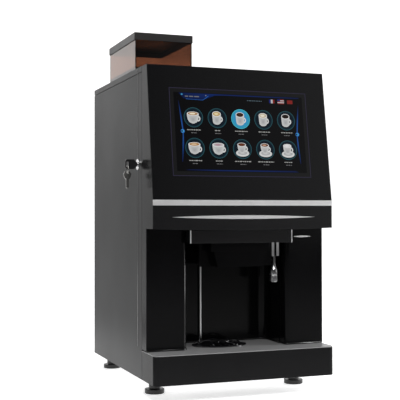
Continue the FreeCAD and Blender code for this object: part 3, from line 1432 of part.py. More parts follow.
def mixing_bowl():
    x, z = S.bowl_x, S.whipper_height
    front = bowl_y - S.bowl_depth / 2
    rear = bowl_y + S.bowl_depth / 2
    depth = S.bowl_depth
    wall = S.canister_wall
    room = S.whipper_radius + 2.5
    drain_radius = S.bowl_outlet - wall
    shelf = S.shelf_height
    trough = box("BowlTrough", (x - S.bowl_half, x + S.bowl_half), (front, rear),
                 (z + 20, S.canister_base - 6))
    chamber = cylinder("BowlChamber", room + 3, (x, front, z), depth, "y")
    hollow = box("BowlHollow", (x - S.bowl_half + wall, x + S.bowl_half - wall),
                 (front + wall, rear - wall), (z + 28, S.canister_base))
    link = box("BowlLink", (x - 14, x + 14), (front + 2 * wall, rear - 2 * wall), (z, z + 30))
    inside = cylinder("BowlInside", room, (x, front + 3, z), depth - 6, "y")
    outlet = cylinder("BowlOutlet", S.bowl_outlet, (x, bowl_y, shelf - 6), z - shelf)
    drain = cylinder("BowlDrain", drain_radius, (x, bowl_y, shelf - 7), z - shelf + 6)
    motor = cylinder("WhipperMotor", room, (x, rear, z), 46, "y")
    bore = cylinder("WhipperBore", whipper_shaft + S.shaft_fit, (x, rear - 8, z), 30, "y")
    blank = fuse("BowlBlank", trough, chamber, outlet, motor)
    return node("mixing_bowl", cut("MixingBowl", blank, hollow, link, inside, drain, bore))


def whipper_impeller():
    x, z = S.bowl_x, S.whipper_height
    disc_y = bowl_y - S.bowl_depth / 2 + 20
    disc = cylinder("ImpellerDisc", S.whipper_radius, (x, disc_y, z), 3, "y")
    shaft = cylinder("ImpellerShaft", whipper_shaft, (x, disc_y, z), 28, "y")
    pieces = [disc, shaft]
    reach = S.whipper_radius - 1
    for index in range(4):
        blade = box(f"ImpellerBlade{index}", (-reach, reach), (-12, 1), (-1, 1))
        spun = turn(carrier(f"ImpellerBladeTurned{index}", blade), V(0, 1, 0), 45 * index)
        pieces.append(seat(spun, x, disc_y, z))
    return node("whipper_impeller", fuse("WhipperImpeller", *pieces))


def waste_bin():
    x, edge, wall = S.hopper_x, S.bin_half, S.bin_wall
    front = S.alcove_back + S.bin_set
    rear = front + S.bin_length
    low = inner_floor + 2 * S.pan_sheet
    high = S.shelf_height - S.bin_drop
    outline = rounded_rectangle(x - edge, x + edge, front, rear, S.bin_round)
    bin_body = padded("WasteBin", "xy", low, high, [outline])
    inside = rounded_rectangle(x - edge + wall, x + edge - wall, front + wall, rear - wall,
                               S.bin_round - wall)
    pocket(bin_body, "xy", low + wall, high, [inside])
    return node("waste_bin", bin_body)


def boiler():
    x, y = S.boiler_x, S.boiler_y
    leg_set = 34
    leg_half = 6
    pieces = [cylinder("BoilerTank", S.boiler_radius, (x, y, S.boiler_base), S.boiler_top - S.boiler_base)]
    for index, (side_x, side_y) in enumerate(((-1, -1), (1, -1), (1, 1), (-1, 1))):
        leg_x = x + side_x * leg_set
        leg_y = y + side_y * leg_set
        pieces.append(box(f"BoilerLeg{index}", (leg_x - leg_half, leg_x + leg_half),
                          (leg_y - leg_half, leg_y + leg_half), (inner_floor, S.boiler_base + 4)))
    lug = 2 * S.hose_radius
    pieces.append(box("BoilerFitting", (S.hose_x - lug, S.hose_x + lug), (y - S.fitting_reach, y),
                      (S.boiler_top - 4, S.hose_height + lug)))
    return node("boiler", fuse("Boiler", *pieces))


def water_pump():
    x, z = S.water_x, S.water_z
    rear = back - S.back_room
    body_half = 30
    body_depth = 70
    body = box("PumpBody", (x - body_half, x + body_half), (rear - body_depth, rear), (z - 32, z + 34))
    motor = cylinder("PumpMotor", 27, (x, rear - 2 * body_depth, z), body_depth + 1, "y")
    port = cylinder("PumpPort", S.water_radius, (x, rear - 1, z), S.back_room + 1 + S.water_reach, "y")
    collar = cylinder("PumpCollar", S.water_radius + 4, (x, back, z), 3, "y")
    bore_start = back - 20
    bore = cylinder("PumpPortBore", S.water_radius - 4, (x, bore_start, z),
                    back - bore_start + S.water_reach + 1, "y")
    return node("water_pump", cut("WaterPump", fuse("PumpBlank", body, motor, port, collar), bore))


def electrical_box():
    # One steel box holds the power supply and the control board.
    low = inner_floor + S.pan_sheet
    rear = back - S.back_room
    supply = box("ElectricalBox", (S.box_left, S.box_right), (rear - S.box_depth, rear),
                 (low, low + S.box_height))
    return node("electrical_box", supply)


def power_inlet():
    x, z = S.inlet_x, S.inlet_z
    edge = S.inlet_half
    lap = 6
    flange = box("InletFlange", (x - edge - lap, x + edge + lap), (back, back + 3),
                 (z - edge - 4, inlet_top + 4))
    body = box("InletBody", (x - edge, x + edge), (back - S.inlet_depth, back + 1), (z - edge, inlet_top))
    socket = box("InletSocket", (x - S.socket_half, x + S.socket_half), (back - 18, back + 4),
                 (z - S.socket_rise, z + S.socket_rise))
    window_half = S.rocker_half + S.slide_gap
    window_rise = S.rocker_rise + 1.4
    window = box("RockerWindow", (x - window_half, x + window_half), (back - 16, back + 4),
                 (S.rocker_z - window_rise, S.rocker_z + window_rise))
    shell = cut("InletShell", fuse("InletBlank", flange, body), socket, window)
    pieces = [shell]
    for index, (across, up) in enumerate(((-7, -1.5), (0, 2), (7, -1.5))):
        pieces.append(box(f"InletPin{index}", (x + across - 1, x + across + 1), (back - 19, back - 3),
                          (z + up - 2, z + up + 2)))
    return node("power_inlet", fuse("PowerInlet", *pieces))


def rocker_switch():
    x, z = S.inlet_x, S.rocker_z
    rise = S.rocker_rise
    pivot = back - 10
    lip = back + 5.4
    outline = [
        (pivot, z - 3), (back + 1, z - rise), (lip, z - rise), (back + 4, z),
        (lip, z + rise), (back + 1, z + rise), (pivot, z + 3),
    ]
    rocker = padded("RockerSwitch", "yz", x - S.rocker_half, x + S.rocker_half, [outline])
    return node("rocker_switch", rocker)


def fan():
    x, z = S.fan_x, S.fan_z
    rear = back - S.skin
    front = rear - S.fan_depth
    edge = S.fan_half
    arm = edge - 2
    bar = 2.5
    frame = box("FanSquare", (x - edge, x + edge), (front, rear), (z - edge, z + edge))
    tunnel = cylinder("FanTunnel", S.fan_rotor + 2, (x, front - 1, z), S.fan_depth + 2, "y")
    hub = cylinder("FanHub", S.fan_hub, (x, rear - 5, z), 5, "y")
    bars = [
        box("FanBarAcross", (x - arm, x + arm), (rear - 4, rear), (z - bar, z + bar)),
        box("FanBarUp", (x - bar, x + bar), (rear - 4, rear), (z - arm, z + arm)),
    ]
    pin = cylinder("FanPin", S.fan_pin, (x, front + 4, z), S.fan_depth - 5, "y")
    node("fan_frame", fuse("FanFrame", cut("FanRing", frame, tunnel), hub, pin, *bars))
    core = cylinder("RotorHub", S.fan_hub - 1, (x, front + 2, z), S.fan_depth - 9, "y")
    bore = cylinder("RotorBore", S.fan_pin + S.shaft_fit, (x, front + 3, z), S.fan_depth, "y")
    blade_pitch = 55
    blades = []
    for index in range(7):
        blade = box(f"FanBlade{index}", (S.fan_hub - 3, S.fan_rotor - 0.8), (-1, 1), (-10, 10))
        pitched = turn(carrier(f"FanBladePitched{index}", blade), V(1, 0, 0), blade_pitch)
        spun = turn(carrier(f"FanBladeSpun{index}", pitched), V(0, 1, 0), FULL_TURN / 7 * index)
        blades.append(seat(spun, x, front + 10, z))
    node("fan_rotor", cut("FanRotor", fuse("FanRotorBlank", core, *blades), bore))


base_pan()
side_panel("left_side_panel", -1)
side_panel("right_side_panel", 1)
rear_panel()
top_cover()
inner_shelf()
cabinet_screws()
feet()
alcove_liner()
head_housing()
spout_body()
head_front_plate()
guide_rod()
hot_water_nozzle()
hot_water_hose()
tray_housing()
tray_cover()
drip_pan()
cup_grid()
door_frame()
door_liner()
fascia_glass()
display_module()
trim_strip()
band_panel()
pillar("left_pillar", -1)
pillar("right_pillar", 1)
hood()
chrome_trims()
hinge_leaves()
lock_barrel()
lock_plug()
door_key()
key_ring()
spare_key()
bean_hopper()
hopper_gate()
hopper_lid()
grinder_body()
grinder_burr()
brewer()
powder_canisters()
mixing_bowl()
whipper_impeller()
waste_bin()
boiler()
water_pump()
electrical_box()
power_inlet()
rocker_switch()
fan()

doc.recompute()
for item in doc.Objects:
    if "Invalid" in item.State or "Error" in item.State:
        raise RuntimeError(f"{item.Label} is not built: {item.State}")
for body, feature in cutters:
    if feature.Shape.Volume >= feature.BaseFeature.Shape.Volume - 1e-3:
        raise RuntimeError(f"a cut in {body.Label} takes nothing away")
os.makedirs("parts", exist_ok=True)
for label, item in nodes.items():
    shape = item.Shape
    if shape.isNull() or not shape.isValid() or not shape.Solids:
        raise RuntimeError(f"{label} is not a valid solid")
    shape.exportStep(f"parts/{label}.step")
print(len(nodes), "parts written")
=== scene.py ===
import json
import math

import bmesh
import bpy
import numpy as np
from mathutils import Matrix, Vector


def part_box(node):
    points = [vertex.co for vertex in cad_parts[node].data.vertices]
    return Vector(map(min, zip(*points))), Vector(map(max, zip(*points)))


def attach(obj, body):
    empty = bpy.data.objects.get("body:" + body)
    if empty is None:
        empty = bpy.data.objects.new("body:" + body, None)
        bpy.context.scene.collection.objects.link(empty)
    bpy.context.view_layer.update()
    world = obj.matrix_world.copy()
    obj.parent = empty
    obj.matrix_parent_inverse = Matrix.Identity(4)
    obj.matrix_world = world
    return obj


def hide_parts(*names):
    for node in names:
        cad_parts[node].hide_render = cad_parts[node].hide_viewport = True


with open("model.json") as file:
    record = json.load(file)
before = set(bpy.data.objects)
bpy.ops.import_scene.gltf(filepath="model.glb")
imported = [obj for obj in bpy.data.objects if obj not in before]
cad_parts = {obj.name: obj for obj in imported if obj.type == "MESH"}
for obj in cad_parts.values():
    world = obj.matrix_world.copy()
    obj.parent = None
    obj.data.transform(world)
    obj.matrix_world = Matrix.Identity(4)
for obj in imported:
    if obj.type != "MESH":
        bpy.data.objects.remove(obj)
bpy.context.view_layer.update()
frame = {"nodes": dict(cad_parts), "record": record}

# Looks of a countertop coffee vending machine: metres, +Z up, the front faces -Y.
mm = 0.001

bodyOf = {node: body for body, nodes in frame["record"]["behaviour"]["bodies"].items() for node in nodes}
slotOf = {part["node"]: part["material_slot"] for part in frame["record"]["subparts"]}


class Signal:
    # one socket of a node tree, so that a sum or a product of signals reads as plain maths
    def __init__(self, paint, socket):
        self.paint = paint
        self.socket = socket

    def joined(self, operation, first, second):
        return self.paint.node("ShaderNodeMath", {"operation": operation}, {0: first, 1: second})

    def __add__(self, other):
        return self.joined("ADD", self, other)

    def __radd__(self, other):
        return self.joined("ADD", other, self)

    def __sub__(self, other):
        return self.joined("SUBTRACT", self, other)

    def __rsub__(self, other):
        return self.joined("SUBTRACT", other, self)

    def __mul__(self, other):
        return self.joined("MULTIPLY", self, other)

    def __rmul__(self, other):
        return self.joined("MULTIPLY", other, self)


class Paint:
    # a material with its node tree and the few node patterns that the finishes share
    def __init__(self, name):
        self.material = bpy.data.materials.new(name)
        self.material.use_nodes = True
        self.tree = self.material.node_tree
        self.tree.nodes.clear()
        self.place = self.node("ShaderNodeTexCoord", out="Object")

    def node(self, kind, settings=None, values=None, out=0):
        made = self.tree.nodes.new(kind)
        for name, value in (settings or {}).items():
            if name == "stops":
                self.setStops(made.color_ramp, value)
            else:
                setattr(made, name, value)
        for name, value in (values or {}).items():
            if isinstance(value, Signal):
                self.tree.links.new(value.socket, made.inputs[name])
            else:
                made.inputs[name].default_value = value
        return Signal(self, made.outputs[out]) if len(made.outputs) else made

    def setStops(self, ramp, stops):
        while len(ramp.elements) < len(stops):
            ramp.elements.new(0.5)
        for element, (position, level) in zip(ramp.elements, stops):
            element.position = position
            element.color = (level, level, level, 1)

    def ramp(self, signal, stops):
        # a signal carried from level to level at the given positions
        return self.node("ShaderNodeValToRGB", {"stops": stops}, {"Fac": signal})

    def stretched(self, scale):
        return self.node("ShaderNodeMapping", {}, {"Vector": self.place, "Scale": scale})

    def noise(self, scale, detail=4.0, roughness=0.5, vector=None):
        return self.node("ShaderNodeTexNoise", {}, {"Vector": vector or self.place, "Scale": scale,
                                                    "Detail": detail, "Roughness": roughness})

    def cells(self, scale, out=0):
        return self.node("ShaderNodeTexVoronoi", {}, {"Vector": self.place, "Scale": scale}, out)

    def axis(self, letter):
        # the piece's own X, Y or Z in metres
        return self.node("ShaderNodeSeparateXYZ", {}, {"Vector": self.place}, letter)

    def between(self, signal, first, last, top=1.0, smooth=False):
        # 0 at the first value, top at the last, and level beyond them
        kind = {"interpolation_type": "SMOOTHSTEP"} if smooth else {}
        return self.node("ShaderNodeMapRange", kind, {"Value": signal, "From Min": first, "From Max": last,
                                                      "To Max": top})

    def mixed(self, mask, first, second):
        # first where the mask is 0, second where it is 1
        both = {0: mask, 6: first if isinstance(first, Signal) else (*first, 1),
                7: second if isinstance(second, Signal) else (*second, 1)}
        return self.node("ShaderNodeMix", {"data_type": "RGBA"}, both, out=2)

    def bumped(self, height, strength, distance, under=None):
        values = {"Height": height, "Strength": strength, "Distance": distance}
        if under:
            values["Normal"] = under
        return self.node("ShaderNodeBump", {}, values)

    def finished(self, **values):
        # the shader's own sockets by name, with _ for a space
        sockets = {name.replace("_", " "): value for name, value in values.items()}
        shader = self.node("ShaderNodeBsdfPrincipled", {}, sockets)
        self.node("ShaderNodeOutputMaterial", {}, {"Surface": shader})
        return self.material


def lighter(colour, share):
    return tuple(min(1.0, part * (1 + share)) for part in colour)


coatLook = {"grain": 1400, "ripple": 260, "cloud": 7}


def powderCoat(name, colour, roughness, spread, specular):
    # satin coat: fine orange peel, slow clouds of tone and thin pale scuffs
    paint = Paint(name)
    cloud = paint.noise(coatLook["cloud"], 3)
    grain = paint.noise(coatLook["grain"], 2)
    ripple = paint.noise(coatLook["ripple"], 2)
    scuff = paint.ramp(paint.noise(60, 5, 0.7, paint.stretched((0.4, 0.4, 3.0))), [(0.62, 0), (0.80, 1)])
    tone = paint.mixed(cloud, lighter(colour, -spread), lighter(colour, spread))
    worn = paint.mixed(scuff * 0.22, tone, lighter(colour, 0.5))
    rough = roughness + (cloud - 0.5) * 0.10 + (grain - 0.5) * 0.10 + scuff * 0.06
    skin = paint.bumped(ripple, 0.10, 0.0006)
    return paint.finished(Base_Color=worn, Roughness=rough, Specular_IOR_Level=specular,
                          Normal=paint.bumped(grain, 0.12, 0.0002, skin))


def glossBlack(name, colour, roughness=0.10, specular=0.5, haze=0.10):
    # polished black: faint smears in the gloss and a trace of dust
    paint = Paint(name)
    smear = paint.noise(9, 5, 0.6, paint.stretched((1.0, 1.0, 0.35)))
    dust = paint.ramp(paint.cells(900), [(0.02, 1), (0.06, 0)])
    speck = dust * paint.ramp(paint.noise(30, 2), [(0.5, 0), (0.8, 1)])
    wave = paint.noise(18, 1)
    tone = paint.mixed(speck * 0.25, paint.mixed(smear, colour, lighter(colour, 0.35)), (0.10, 0.10, 0.10))
    rough = roughness + paint.ramp(smear, [(0.40, 0), (0.75, 1)]) * haze + speck * 0.2
    return paint.finished(Base_Color=tone, Roughness=rough, Specular_IOR_Level=specular,
                          Normal=paint.bumped(wave, 0.03, 0.002))


def plated(name, colour, roughness=0.08, wear=0.12):
    # polished plating: hairline scratches and a slight cloud
    paint = Paint(name)
    hair = paint.noise(700, 3, 0.6, paint.stretched((1.0, 1.0, 0.04)))
    cloud = paint.noise(40, 4)
    tone = paint.mixed(cloud, lighter(colour, -0.10), lighter(colour, 0.04))
    rough = roughness + hair * wear * 0.5 + cloud * wear * 0.4
    return paint.finished(Base_Color=tone, Metallic=1.0, Roughness=rough,
                          Normal=paint.bumped(hair, 0.05, 0.0002))


def brushed(name, colour, along, roughness=0.30):
    # brushed metal: grain drawn out along one axis, given as the stretch of the pattern
    paint = Paint(name)
    grain = paint.noise(900, 4, 0.7, paint.stretched(along))
    cloud = paint.noise(12, 3)
    tone = paint.mixed(grain, lighter(colour, -0.18), lighter(colour, 0.12))
    stained = paint.mixed(paint.ramp(cloud, [(0.55, 0), (0.8, 1)]) * 0.2, tone, lighter(colour, -0.35))
    return paint.finished(Base_Color=stained, Metallic=1.0, Roughness=roughness + (grain - 0.5) * 0.2,
                          Normal=paint.bumped(grain, 0.12, 0.0002))


def galvanised(name, colour):
    # zinc spangle: flat cells of slightly different tone
    paint = Paint(name)
    spangle = paint.cells(90.0, "Color")
    cloud = paint.noise(25, 4)
    tone = paint.mixed(0.16, paint.mixed(cloud, lighter(colour, -0.2), lighter(colour, 0.1)), spangle)
    grey = paint.node("ShaderNodeHueSaturation", {}, {"Saturation": 0.05, "Color": tone})
    return paint.finished(Base_Color=grey, Metallic=1.0, Roughness=0.34 + cloud * 0.16,
                          Normal=paint.bumped(cloud, 0.05, 0.001))


def moulded(name, colour, roughness=0.48, grain=1100, depth=0.16):
    # moulded plastic: an etched grain of small cells and a soft cloud of sheen
    paint = Paint(name)
    etch = paint.cells(grain)
    cloud = paint.noise(14, 3)
    rub = paint.ramp(paint.noise(45, 5, 0.7), [(0.60, 0), (0.78, 1)])
    tone = paint.mixed(cloud, lighter(colour, -0.12), lighter(colour, 0.16))
    return paint.finished(Base_Color=paint.mixed(rub * 0.15, tone, lighter(colour, 0.7)),
                          Roughness=roughness + (cloud - 0.5) * 0.12 - rub * 0.08,
                          Normal=paint.bumped(etch, depth, 0.0002))


def smoked(name, colour):
    # clear smoked plastic: light comes through tinted, with faint moulding flow and finger marks
    paint = Paint(name)
    flow = paint.noise(6, 3, 0.5, paint.stretched((1.0, 1.0, 0.3)))
    marks = paint.ramp(paint.noise(22, 5, 0.7), [(0.55, 0), (0.85, 1)])
    tone = paint.mixed(flow, lighter(colour, -0.08), lighter(colour, 0.10))
    return paint.finished(Base_Color=tone, Roughness=0.03 + marks * 0.10, IOR=1.49,
                          Transmission_Weight=1.0, Normal=paint.bumped(flow, 0.02, 0.001))


def rubber(name, colour, roughness=0.42):
    # rubber: a fine matte grain with a dusty bloom and polished high spots
    paint = Paint(name)
    grain = paint.noise(1600, 3)
    bloom = paint.noise(28, 5, 0.65)
    tone = paint.mixed(paint.ramp(bloom, [(0.45, 0), (0.85, 1)]) * 0.35, colour, lighter(colour, 1.8))
    return paint.finished(Base_Color=tone, Roughness=roughness + bloom * 0.16,
                          Normal=paint.bumped(grain, 0.18, 0.0002))


def castMetal(name, colour, roughness=0.45):
    # sand-cast or spun aluminium: pits, a soft cloud and a rubbed sheen
    paint = Paint(name)
    pits = paint.cells(520)
    cloud = paint.noise(20, 5, 0.6)
    tone = paint.mixed(cloud, lighter(colour, -0.2), lighter(colour, 0.12))
    return paint.finished(Base_Color=tone, Metallic=1.0, Roughness=roughness + (cloud - 0.5) * 0.2,
                          Normal=paint.bumped(pits, 0.2, 0.0004))


def screenLight(name, strength):
    # lit picture behind glass: the vertices hold the picture's tints, the dot grid breaks them up
    paint = Paint(name)
    tint = paint.node("ShaderNodeAttribute", {"attribute_name": "tint"}, out="Color")
    grid = paint.ramp(paint.cells(2600), [(0.0, 1), (0.9, 0.82)])
    shown = paint.mixed(grid, (0, 0, 0), tint)
    smear = paint.noise(9, 5, 0.6)
    return paint.finished(Base_Color=paint.mixed(0.92, tint, (0, 0, 0)), Emission_Color=shown,
                          Emission_Strength=strength, Roughness=0.08 + smear * 0.08,
                          Specular_IOR_Level=0.3)


finishes = {
    "side_paint": powderCoat("sideCoat", (0.028, 0.028, 0.029), 0.36, 0.10, 0.10),
    "door_paint": powderCoat("doorCoat", (0.020, 0.020, 0.021), 0.17, 0.10, 0.05),
    "rear_steel": powderCoat("rearCoat", (0.062, 0.062, 0.064), 0.42, 0.10, 0.28),
    "cover_paint": powderCoat("coverCoat", (0.030, 0.030, 0.031), 0.38, 0.10, 0.16),
    "pan_steel": galvanised("zincSheet", (0.55, 0.56, 0.58)),
    "black_glass": glossBlack("fasciaGlass", (0.0035, 0.0035, 0.004), 0.04, 0.42, 0.05),
    "screen": glossBlack("displayHousing", (0.01, 0.01, 0.012), 0.3),
    "silver_strip": brushed("stripAluminium", (0.92, 0.92, 0.92), (0.03, 1.0, 1.0), 0.5),
    "band_black": glossBlack("bandGloss", (0.006, 0.006, 0.0065), 0.14, 0.45),
    "piano_black": glossBlack("pianoBlack", (0.0018, 0.0018, 0.0021), 0.07, 0.22),
    "chrome": plated("chromePlate", (0.90, 0.90, 0.91), 0.05),
    "tray_black": powderCoat("traySatin", (0.010, 0.010, 0.0105), 0.20, 0.2, 0.05),
    "tray_top": powderCoat("trayTopCoat", (0.24, 0.24, 0.243), 0.34, 0.06, 0.4),
    "pan_plastic": moulded("blackMoulding", (0.012, 0.012, 0.013), 0.42),
    "grid_black": glossBlack("gridGloss", (0.006, 0.006, 0.007), 0.07, 0.9, 0.04),
    "smoked": smoked("smokedAmber", (0.33, 0.19, 0.13)),
    "lid_black": moulded("lidMoulding", (0.021, 0.019, 0.019), 0.40, 1300, 0.12),
    "liner_grey": moulded("linerMoulding", (0.16, 0.16, 0.165), 0.5),
    "foot_rubber": rubber("footRubber", (0.004, 0.004, 0.004), 0.16),
    "zinc": plated("zincPlate", (0.62, 0.62, 0.60), 0.26, 0.25),
    "key_plastic": moulded("keyBow", (0.010, 0.010, 0.011), 0.35, 1500),
    "key_steel": plated("nickelPlate", (0.78, 0.77, 0.74), 0.14, 0.2),
    "works_plastic": moulded("worksMoulding", (0.42, 0.42, 0.43), 0.45),
    "works_clear": moulded("canisterMoulding", (0.62, 0.61, 0.58), 0.30, 700, 0.08),
    "works_metal": castMetal("grinderCasting", (0.55, 0.55, 0.56)),
    "boiler_steel": brushed("boilerShell", (0.66, 0.66, 0.67), (1.0, 1.0, 0.03), 0.32),
    "hose_silicone": rubber("siliconeHose", (0.50, 0.49, 0.46), 0.35),
    "inlet_black": moulded("inletMoulding", (0.014, 0.014, 0.014), 0.45),
}
print("finishes made:", len(finishes))


def newPiece(name, mesh, body, slot, paint=None):
    piece = bpy.data.objects.new(name, mesh)
    bpy.context.scene.collection.objects.link(piece)
    mesh.materials.clear()
    mesh.materials.append(paint or finishes[slot])
    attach(piece, body)
    return piece


def meshFrom(name, points, faces, smooth=True):
    mesh = bpy.data.meshes.new(name)
    mesh.from_pydata(np.asarray(points, float).reshape(-1, 3).tolist(), [], faces)
    mesh.polygons.foreach_set("use_smooth", [smooth] * len(mesh.polygons))
    mesh.update()
    return mesh


def gridFaces(rows, columns, closed=False, start=0):
    # quads between the points of a grid, stored row by row; closed joins the last column to the first
    last = columns if closed else columns - 1
    row, column = np.meshgrid(np.arange(rows - 1), np.arange(last), indexing="ij")
    right = (column + 1) % columns
    quads = np.stack([row * columns + column, row * columns + right,
                      (row + 1) * columns + right, (row + 1) * columns + column], axis=-1)
    return (quads.reshape(-1, 4) + start).tolist()


def tubeFaces(rows, around):
    # the sides of a tube of closed rows, and a cap at each end
    end = rows * around
    return gridFaces(rows, around, True) + [list(range(around))[::-1], list(range(end - around, end))]


def swept(path, wide, tall, around=12):
    # points and faces of an oval section carried along a path: half widths go across the path,
    # half heights along the upright that is square to both
    path = np.asarray(path, float)
    ahead = np.gradient(path, axis=0)
    ahead /= np.linalg.norm(ahead, axis=1, keepdims=True)
    across = np.cross(ahead, (0.0, 0.0, 1.0))
    across /= np.linalg.norm(across, axis=1, keepdims=True)
    upright = np.cross(across, ahead)
    spin = np.linspace(0, 2 * math.pi, around, endpoint=False)
    wide = np.broadcast_to(wide, len(path))[:, None, None]
    tall = np.broadcast_to(tall, len(path))[:, None, None]
    points = (path[:, None] + wide * np.cos(spin)[None, :, None] * across[:, None]
              + tall * np.sin(spin)[None, :, None] * upright[:, None])
    return points, tubeFaces(len(path), around)


def joinedMesh(name, patches):
    # patches of points and faces as one mesh, with all faces turned outwards
    points, faces, start = [], [], 0
    for part, partFaces in patches:
        points.append(np.asarray(part).reshape(-1, 3))
        faces += [[corner + start for corner in face] for face in partFaces]
        start += len(points[-1])
    mesh = meshFrom(name, np.concatenate(points), faces)
    work = bmesh.new()
    work.from_mesh(mesh)
    bmesh.ops.recalc_face_normals(work, faces=work.faces)
    work.to_mesh(mesh)
    work.free()
    return mesh


roundLook = {"merge": 0.002, "flat": 0.4, "corner": 32, "segments": 2, "shade": 38, "weight": 100}


def mergedCopy(node):
    # a node's mesh with its doubles merged and its flat faces joined, ready to be bevelled
    work = bmesh.new()
    work.from_mesh(frame["nodes"][node].data)
    bmesh.ops.remove_doubles(work, verts=work.verts, dist=roundLook["merge"] * mm)
    bmesh.ops.dissolve_limit(work, angle_limit=math.radians(roundLook["flat"]), verts=work.verts,
                             edges=work.edges)
    return work


def finishedCopy(node, work, paint=None):
    # the bevelled copy as a piece in place of the node
    mesh = bpy.data.meshes.new(node + "_finish")
    work.to_mesh(mesh)
    work.free()
    mesh.polygons.foreach_set("use_smooth", [True] * len(mesh.polygons))
    mesh.set_sharp_from_angle(angle=math.radians(roundLook["shade"]))
    piece = newPiece(node + "_finish", mesh, bodyOf[node], slotOf[node], paint)
    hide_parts(node)
    return piece


def rounded(node, width, paint=None):
    # all sharp edges rolled over by the same small width
    work = mergedCopy(node)
    corner = math.radians(roundLook["corner"])
    sharp = [edge for edge in work.edges if len(edge.link_faces) == 2 and edge.calc_face_angle() > corner]
    bmesh.ops.bevel(work, geom=sharp, offset=width * mm, offset_type="WIDTH",
                    segments=roundLook["segments"], profile=0.5, affect="EDGES", clamp_overlap=True)
    piece = finishedCopy(node, work, paint)
    weigh = piece.modifiers.new("flatFaces", "WEIGHTED_NORMAL")  # keeps large faces flat beside the rolls
    weigh.keep_sharp = True
    weigh.weight = roundLook["weight"]


blockLook = {"node": "hot_water_nozzle", "width": 7.0, "segments": 8, "square": 80, "upright": 0.999,
             "shortest": 12}


def rolledBlock():
    # only the long upright edges of the nozzle's block rolled over widely
    work = mergedCopy(blockLook["node"])
    upright = []
    for edge in work.edges:
        along = edge.verts[1].co - edge.verts[0].co
        steep = abs(along.z) > blockLook["upright"] * along.length
        if steep and along.length > blockLook["shortest"] * mm and len(edge.link_faces) == 2:
            if edge.calc_face_angle() > math.radians(blockLook["square"]):
                upright.append(edge)
    bmesh.ops.bevel(work, geom=upright, offset=blockLook["width"] * mm, offset_type="OFFSET",
                    segments=blockLook["segments"], profile=0.5, affect="EDGES", clamp_overlap=True)
    finishedCopy(blockLook["node"], work)
    print(blockLook["node"], "edges rolled", len(upright))


for node, item in frame["nodes"].items():
    for place in item.material_slots:
        place.material = finishes[slotOf[node]]

rolledBlock()  # edgeRolls names this node too, so two copies of it show
hingeSatin = brushed("hingeSatin", (0.16, 0.16, 0.165), (1.0, 1.0, 0.03), 0.5)
for node in ("cabinet_hinges", "door_hinges"):
    frame["nodes"][node].material_slots[0].material = hingeSatin
# painted shade: a darker, less glossy black than the other black parts, so the spout body, head front plate
# and head housing sit dark as in the alcove's shade
headPaintedShadeGloss = glossBlack("headPaintedShadeGloss", (0.0012, 0.0012, 0.0014), 0.16, 0.12)
edgeRolls = {
    "left_side_panel": 0.5, "right_side_panel": 0.5, "top_cover": 0.6, "door_frame": 0.5,
    "tray_housing": 0.6, "tray_cover": 0.5, "left_pillar": 0.5, "right_pillar": 0.5, "hood": 0.6,
    "band_panel": 0.4, "trim_strip": 0.3, "fascia_glass": 0.5, "hopper_lid": 1.0, "spout_body": 0.8,
    "head_front_plate": 0.5, "hot_water_nozzle": 0.5, "lock_barrel": 0.4, "door_key": 0.5,
    "spare_key": 0.3, "hopper_gate": 0.3, "foot_front_left": 0.8, "foot_front_right": 0.8,
    "foot_rear_left": 0.8, "foot_rear_right": 0.8,
}
# the head's parts take the painted-shade black
ownPaint = {"spout_body": headPaintedShadeGloss, "head_front_plate": headPaintedShadeGloss}
for node, width in edgeRolls.items():
    rounded(node, width, paint=ownPaint.get(node))
frame["nodes"]["head_housing"].material_slots[0].material = headPaintedShadeGloss
rounded("chrome_trims", 0.2, paint=brushed("trimSatin", (0.86, 0.86, 0.86), (0.03, 1.0, 1.0), 0.5))
print("edges rolled on", len(edgeRolls), "pieces")


fasciaLow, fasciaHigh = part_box("fascia_glass")
glassDepth = 4 * mm  # thickness of the glass from front to back
slopeFoot = Vector((0.5 * (fasciaLow[0] + fasciaHigh[0]), fasciaLow[1], fasciaLow[2]))
slopeRise = Vector((0, fasciaHigh[1] - glassDepth - fasciaLow[1], fasciaHigh[2] - fasciaLow[2]))
slopeRise.normalize()
slopeOut = Vector((1, 0, 0)).cross(slopeRise)


def onSlope(flat, layer):
    # points given across and up the glass in mm, lifted off it by a thin step for each layer
    lift = picture["lift"] * (layer + 1) * mm
    return (np.asarray(slopeFoot) + flat[:, :1] * mm * np.array((1, 0, 0))
            + flat[:, 1:] * mm * np.asarray(slopeRise) + lift * np.asarray(slopeOut))


picture = {
    "areaHalf": 171.0, "areaLow": 69.0, "areaHigh": 263.0,  # lit area: half width, lower and upper edge
    "lineHalf": 182.0, "lineLow": 57.5, "lineHigh": 274.0, "lineWide": 1.5,  # thin line round the display
    "iconPitch": 61.5, "iconRows": (201.6, 126.3), "iconRadius": 24.6,
    "labelDrop": 31.0, "priceDrop": 38.2, "lift": 0.06,
}


